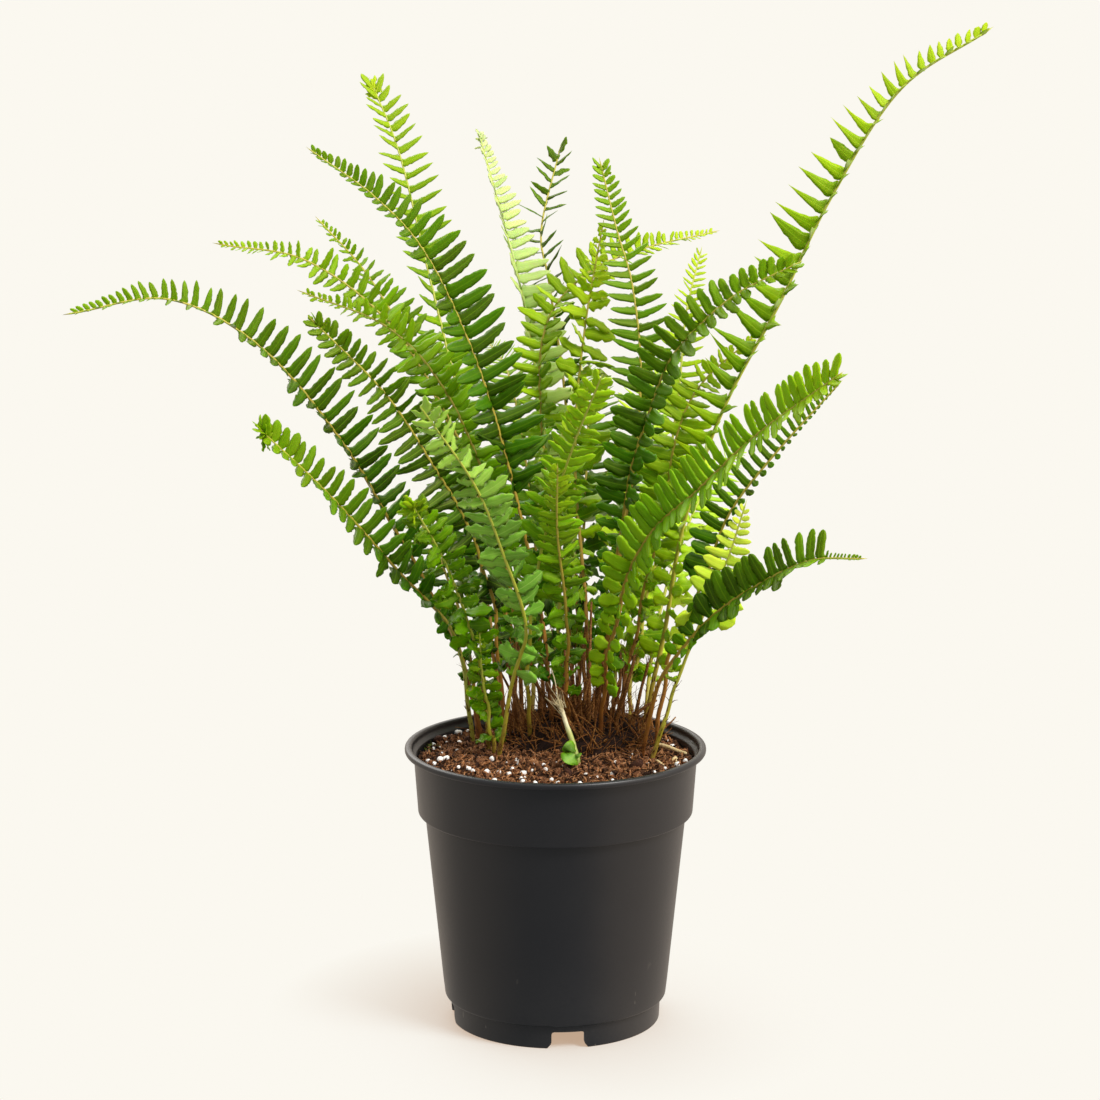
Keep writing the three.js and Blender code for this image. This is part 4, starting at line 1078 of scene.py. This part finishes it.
def grow(frond, source):
    """One frond: its stem from the foot in the soil to the tip, and its rows of leaflets."""
    line, length = frond_line(frond, source)
    at = np.linspace(0, length[-1], int(length[-1] / STEM_STEP))
    share = at / length[-1]
    place, _, face, side = frames(line, length, at, frond.turn * np.minimum(1, share / frond.bare))
    half = STALK_HALF + (frond.tip_half - STALK_HALF) * share**0.8
    face, side, half = (np.concatenate([values[:1], values]) for values in (face, side, half))
    stem = stem_tube(np.concatenate([[[*frond.root, ROOT_DEPTH]], place]), face, side, half)
    stem_marks = np.zeros((5, len(stem[0])))
    stem_marks[4] = np.concatenate([np.repeat([0, *share], STEM_SIDES), [0, 1]])
    rows, marks = leaf_rows(line, length, frond, source)
    places, faces = joined(stem, *rows)
    thing = piece(frond.name, places, faces)
    keep_marks(thing, np.concatenate([stem_marks, *marks], 1))
    is_stem = np.arange(len(faces)) < len(stem[1])
    thing.data.polygons.foreach_set("material_index", is_stem.astype(np.int32))
    dress(thing, "leaf_" + frond.tone, ["frond_" + frond.name],
          LEAF_GREENS[frond.look or frond.tone], STEM_SKINS[frond.stem])
    return line, length


def chaff(line, length, source):
    """Papery scales on the lowest part of a stalk: short flakes that point up and a little out."""
    at = source.uniform(0, 1, CHAFF) ** 1.7 * CHAFF_HEIGHT
    place, way, face, side = frames(line, length, at, np.zeros(CHAFF))
    angle = source.uniform(0, 2 * np.pi, (CHAFF, 1))
    away = face * np.cos(angle) + side * np.sin(angle)
    return place + away * 0.9, way + away * source.uniform(0.1, 0.7, (CHAFF, 1))


scales = []
for number, frond in enumerate(FRONDS):
    source = np.random.default_rng(FROND_SEED + number)
    scales.append(chaff(*grow(frond, source), source))
scale_starts, scale_ways = (np.concatenate(kind) for kind in zip(*scales))
count = len(scale_starts)
flakes = strands(scale_starts, scale_ways, rng.uniform(1.6, 5.5, count), rng.uniform(0.12, 0.32, count),
                 0.2, 5, 4, rng)
dress(piece("stalk_scales", *flakes), "crown", [],
      earth("chaff", "4a2610", "8f5a2c", "c48f55", 260.0, 0.8))

# Old stalks
# Stalks whose blades are long gone, brown and dry, snapped off ragged above the crown. One in
# front is still pale: it is split and frayed at its break, and has a small leaf at its foot.

STALKS = [
    ("old_front", (14, 16), (17, 12, 176), 1.1), ("old_right", (31, 20), (40, 18, 184), 1.2),
    ("old_far_right", (40, 27), (47, 26, 178), 1.0), ("old_middle", (18, 31), (14, 34, 186), 1.2),
    ("old_left", (0, 30), (-5, 30, 172), 1.0), ("old_back", (30, 37), (33, 42, 180), 1.1),
]
STALK_STEPS = 16
STALK_SEED = 300
STUBS = 52
BROKEN_ROOT = (11, -17)
BROKEN_END = (1, -8, 167)
BROKEN_HALF = 1.45
SPLIT_AT = np.array([3.2, -10.0, 163.0])
FRAYS = 26
BROKEN_SEED = 320


def stalk_tube(root, end, half, source, wander=1.2):
    """A stalk from its foot in the soil to its broken end, leaning and a little crooked."""
    t = np.linspace(0, 1, STALK_STEPS)[:, None]
    start = collar(*root)
    lean = start + (np.array(end) - start) * t
    bend = source.normal(size=3) * wander * [1, 1, 0]
    lean += bend * np.sin(np.pi * t) + 0.35 * np.sin(9 * t + [0, 1, 2]) * [1, 1, 0] * t
    line = np.concatenate([[[*root, ROOT_DEPTH]], lean])[None]
    width = np.concatenate([[half], half * (1 - 0.3 * t[:, 0])])[None]
    return round_tubes(line, width * source.uniform(0.9, 1.1, width.shape), 8)


def frayed(end, half, count, longest, source):
    """Fine fibres that stand out of a broken end, mostly upwards."""
    starts = np.array(end) + source.normal(size=(count, 3)) * half * 0.45
    ways = source.normal(size=(count, 3)) * 0.35 + [0, 0, 1]
    return strands(starts - [0, 0, 2.0], ways, source.uniform(0.35, 1, count) * longest,
                   source.uniform(0.1, 0.22, count), 0.18, 7, 4, source)


dry = earth("dry_stalk", "4a280c", "a0662c", "d0a052", 210.0, 0.7)
for number, (name, root, end, half) in enumerate(STALKS):
    source = np.random.default_rng(STALK_SEED + number)
    shape = joined(stalk_tube(root, end, half, source), frayed(end, half, 14, 9, source))
    dress(piece(name, *shape), "stalk_old", ["stalk_" + name], dry)

stub_x, stub_y = in_crown(STUBS, rng, 0.92)
stub_start = np.stack([stub_x, stub_y, crown_top(stub_x, stub_y) - 3], -1)
stub_way = np.stack([0.6 * (stub_x - CROWN_X), 0.5 * (stub_y - CROWN_Y), np.full(STUBS, 80.0)], -1)
stub_way += rng.normal(size=(STUBS, 3)) * [22, 16, 0]
stub_room = 4 + 1.2 * (SOIL_EDGE - np.hypot(stub_x, stub_y))
stub_long = np.minimum(rng.uniform(12, 52, STUBS), stub_room)
stubs = strands(stub_start, stub_way, stub_long, rng.uniform(0.6, 1.5, STUBS), 0.17, 16, 6, rng, 0.45)
dress(piece("stalk_stubs", *stubs), "stalk_old", [], dry)


def pale_stalk():
    """The pale stalk's skin: green at its foot, straw white at its split end."""
    finish, tree, shader = material("pale_stalk")
    _, fine = mottled(tree, 260.0, 4.0)
    place = node(tree, "TexCoord").outputs["Object"]
    height = node(tree, "SeparateXYZ", Vector=place).outputs["Z"]
    climb = clamped(height, 1 / (30 * MM), -138 / 30)
    shade = ramp(climb, (0.0, "8fa545"), (0.45, "b9bd6a"), (0.62, "e6ddb4"), (1.0, "d8c79a"))
    shade = blend_of(scaled(clamped(fine, 2.6, -1.6), 0.45), shade, "7a4f28")
    feed(shader, Base_Color=shade, Roughness=0.55, Normal=relief(fine, 0.4, 0.3))
    return finish


source = np.random.default_rng(BROKEN_SEED)
fray_start = SPLIT_AT + source.normal(size=(FRAYS, 3)) * [0.7, 0.6, 2.2]
fray_way = source.normal(size=(FRAYS, 3)) * [0.25, 0.25, 0.1] + [-0.5, -0.1, 1]
split = strands(fray_start, fray_way, source.uniform(3, 11, FRAYS), source.uniform(0.14, 0.3, FRAYS),
                0.15, 7, 4, source)
whisker = strands(np.array([[3.0, -10.0, 163.0]]), np.array([[-0.3, 0.04, 1.0]]), [20], [0.5], 0.05,
                  18, 6, source, 0.5)
stump = stalk_tube(BROKEN_ROOT, BROKEN_END, BROKEN_HALF, source, 0.8)
dress(piece("broken_pale", *joined(stump, split, whisker)), "stalk_pale", ["stalk_broken_pale"],
      pale_stalk())

lobe_place = np.array([[9.6, -20.6, 143.4], [9.6, -21.2, 142.8], [10.2, -21.0, 142.6]])
lobe_out = unit(np.array([[-0.75, -0.5, 0.6], [-0.5, -1.0, -0.3], [0.5, -0.6, -0.1]]))
lobe_way = np.array([[0.3, 0.2, 0.95], [-0.8, 0.2, 0.6], [-0.75, 0.2, -0.6]])
lobe_long, lobe_wide = np.array([[8.6, 10.4, 4.2], [8.0, 9.6, 3.8]])
places, faces, blade = leaf_row(lobe_place, lobe_way, lobe_out, lobe_long, lobe_wide, 1,
                                np.full(3, 0.2), source, False)
foot_leaf = piece("foot_leaf", places, faces)
each = np.repeat(source.random(3), LEAF_POINTS)
keep_marks(foot_leaf, [*blade, each, np.full(len(each), 0.1)])
dress(foot_leaf, "stalk_pale", [], LEAF_GREENS["mid"])

# Studio
# A wide pale floor under even white light from above and behind, weaker from the front. Of three
# soft suns one is high on the right, one behind on the left and a weak one low on the right.
# The camera stands where the photograph was taken from.

CAMERA_PLACE = (-2.74 * MM, -1617.4 * MM, 568.5 * MM)
CAMERA_TILT = 11.4
CAMERA_LENS = 108.3
SIDE_LIGHT = (1.0, 0.87, 0.74, 1)
TOP_LIGHT = (0.94, 0.98, 1.0, 1)
BLACK = (0, 0, 0, 1)
BRIGHTEST = 0.98
FLOOR_BOUNCE = 0.75
FRONT_SHARE = 0.32
FLOOR_REACH = 40 / MM
FLOOR_FAR = (0.965, 0.939, 0.871, 1)
SHADE_NEAR = 55 * MM
SHADE_FAR = 150 * MM
FLOOR_TINT = (0.255, 0.333, 0.372, 1)
FLOOR_GLOW = (0.523, 0.366, 0.253, 1)


def surroundings_group():
    """How bright the studio is in a direction. Sides is one behind the pot, bright at its right,
    less so at its left and nothing in front. Top is one overhead."""
    group, given, end = shader_group("surroundings", {"Direction": "Vector"}, ["Sides", "Top"])
    x, y, z = node(group, "SeparateXYZ", Vector=given["Direction"]).outputs
    right, left = clamped(x, 2.6, -1.0), clamped(x, -1.9, -0.75)
    beside = math_of("MAXIMUM", right, scaled(left, 0.6))
    put(end["Sides"], math_of("MAXIMUM", clamped(y, 1.3, 0.5), beside))
    put(end["Top"], clamped(z, 1.7, -0.5))
    return group


surroundings = surroundings_group()


def surrounded(tree, direction):
    """The surroundings group in this tree: its sides and its top."""
    return node(tree, "Group", node_tree=surroundings, Direction=direction).outputs


def studio_floor():
    """A flat square floor, eighty metres across. To the camera it is pale, with the pot's shade
    near the pot. What falls on the pot and the leaves from it is the light of the sides."""
    finish, tree, shader = material("pale_floor")
    seen = node(tree, "LightPath").outputs["Is Camera Ray"]
    place = node(tree, "TexCoord").outputs["Object"]
    ahead = node(tree, "VectorMath", operation="NORMALIZE", Vector=place).outputs["Vector"]
    sides, _ = surrounded(tree, ahead)
    bounce = blend_of(sides, [FRONT_SHARE * part for part in TOP_LIGHT],
                      [FLOOR_BOUNCE * part for part in SIDE_LIGHT])
    away = node(tree, "VectorMath", operation="LENGTH", Vector=place).outputs["Value"]
    across = SHADE_FAR - SHADE_NEAR
    near = clamped(away, -1 / across, SHADE_FAR / across)
    tint = blend_of(near, BLACK, FLOOR_TINT)
    glow = blend_of(near, FLOOR_FAR, FLOOR_GLOW)
    feed(shader, Base_Color=blend_of(seen, BLACK, tint), Roughness=0.9, Specular_IOR_Level=0.0,
         Emission_Color=blend_of(seen, bounce, glow), Emission_Strength=1.0)
    finish.cycles.emission_sampling = "NONE"
    corners = FLOOR_REACH * np.array([[-1, -1, 0], [1, -1, 0], [1, 1, 0], [-1, 1, 0]])
    floor = piece("floor", corners, [(0, 1, 2, 3)])
    floor.data.materials.append(finish)


def studio_world():
    """Light from all round: white above and behind, and darker where the camera stands. What
    the camera sees past the floor's edge is as pale as the floor."""
    world = bpy.data.worlds.new("studio")
    world.use_nodes = True
    tree = world.node_tree
    sides, top = surrounded(tree, node(tree, "TexCoord").outputs["Generated"])
    warm = math_of("MULTIPLY", sides, scaled(top, -1.0, 1.0))
    level = scaled(math_of("MAXIMUM", sides, top), BRIGHTEST - FRONT_SHARE, FRONT_SHARE)
    seen = node(tree, "LightPath").outputs["Is Camera Ray"]
    light = blend_of(warm, TOP_LIGHT, SIDE_LIGHT)
    feed(tree.nodes["Background"], Color=blend_of(seen, light, FLOOR_FAR),
         Strength=math_of("MAXIMUM", level, seen))
    bpy.context.scene.world = world


def sun(name, way, power, spread, colour):
    """A soft sun that shines along a direction."""
    light = bpy.data.lights.new(name, "SUN")
    light.energy = power
    light.angle = math.radians(spread)
    light.color = colour
    placed(name, light).rotation_euler = Vector(way).to_track_quat("-Z", "Y").to_euler()


studio_floor()
studio_world()
sun("key", (-0.55, 0.45, -0.8), 2.6, 20, (1.0, 0.98, 0.95))
sun("rim", (0.35, -0.8, -0.75), 1.5, 50, (1.0, 0.99, 0.96))
sun("side", (-0.8, 0.5, -0.3), 0.9, 60, (1.0, 0.98, 0.94))

eye = bpy.data.cameras.new("camera")
eye.lens = CAMERA_LENS
eye.sensor_width = 36.0
eye.clip_end = 200.0
camera = placed("camera", eye)
camera.location = CAMERA_PLACE
camera.rotation_euler = (math.radians(90 - CAMERA_TILT), 0, 0)
bpy.context.scene.camera = camera
bpy.context.scene.view_settings.view_transform = "Standard"
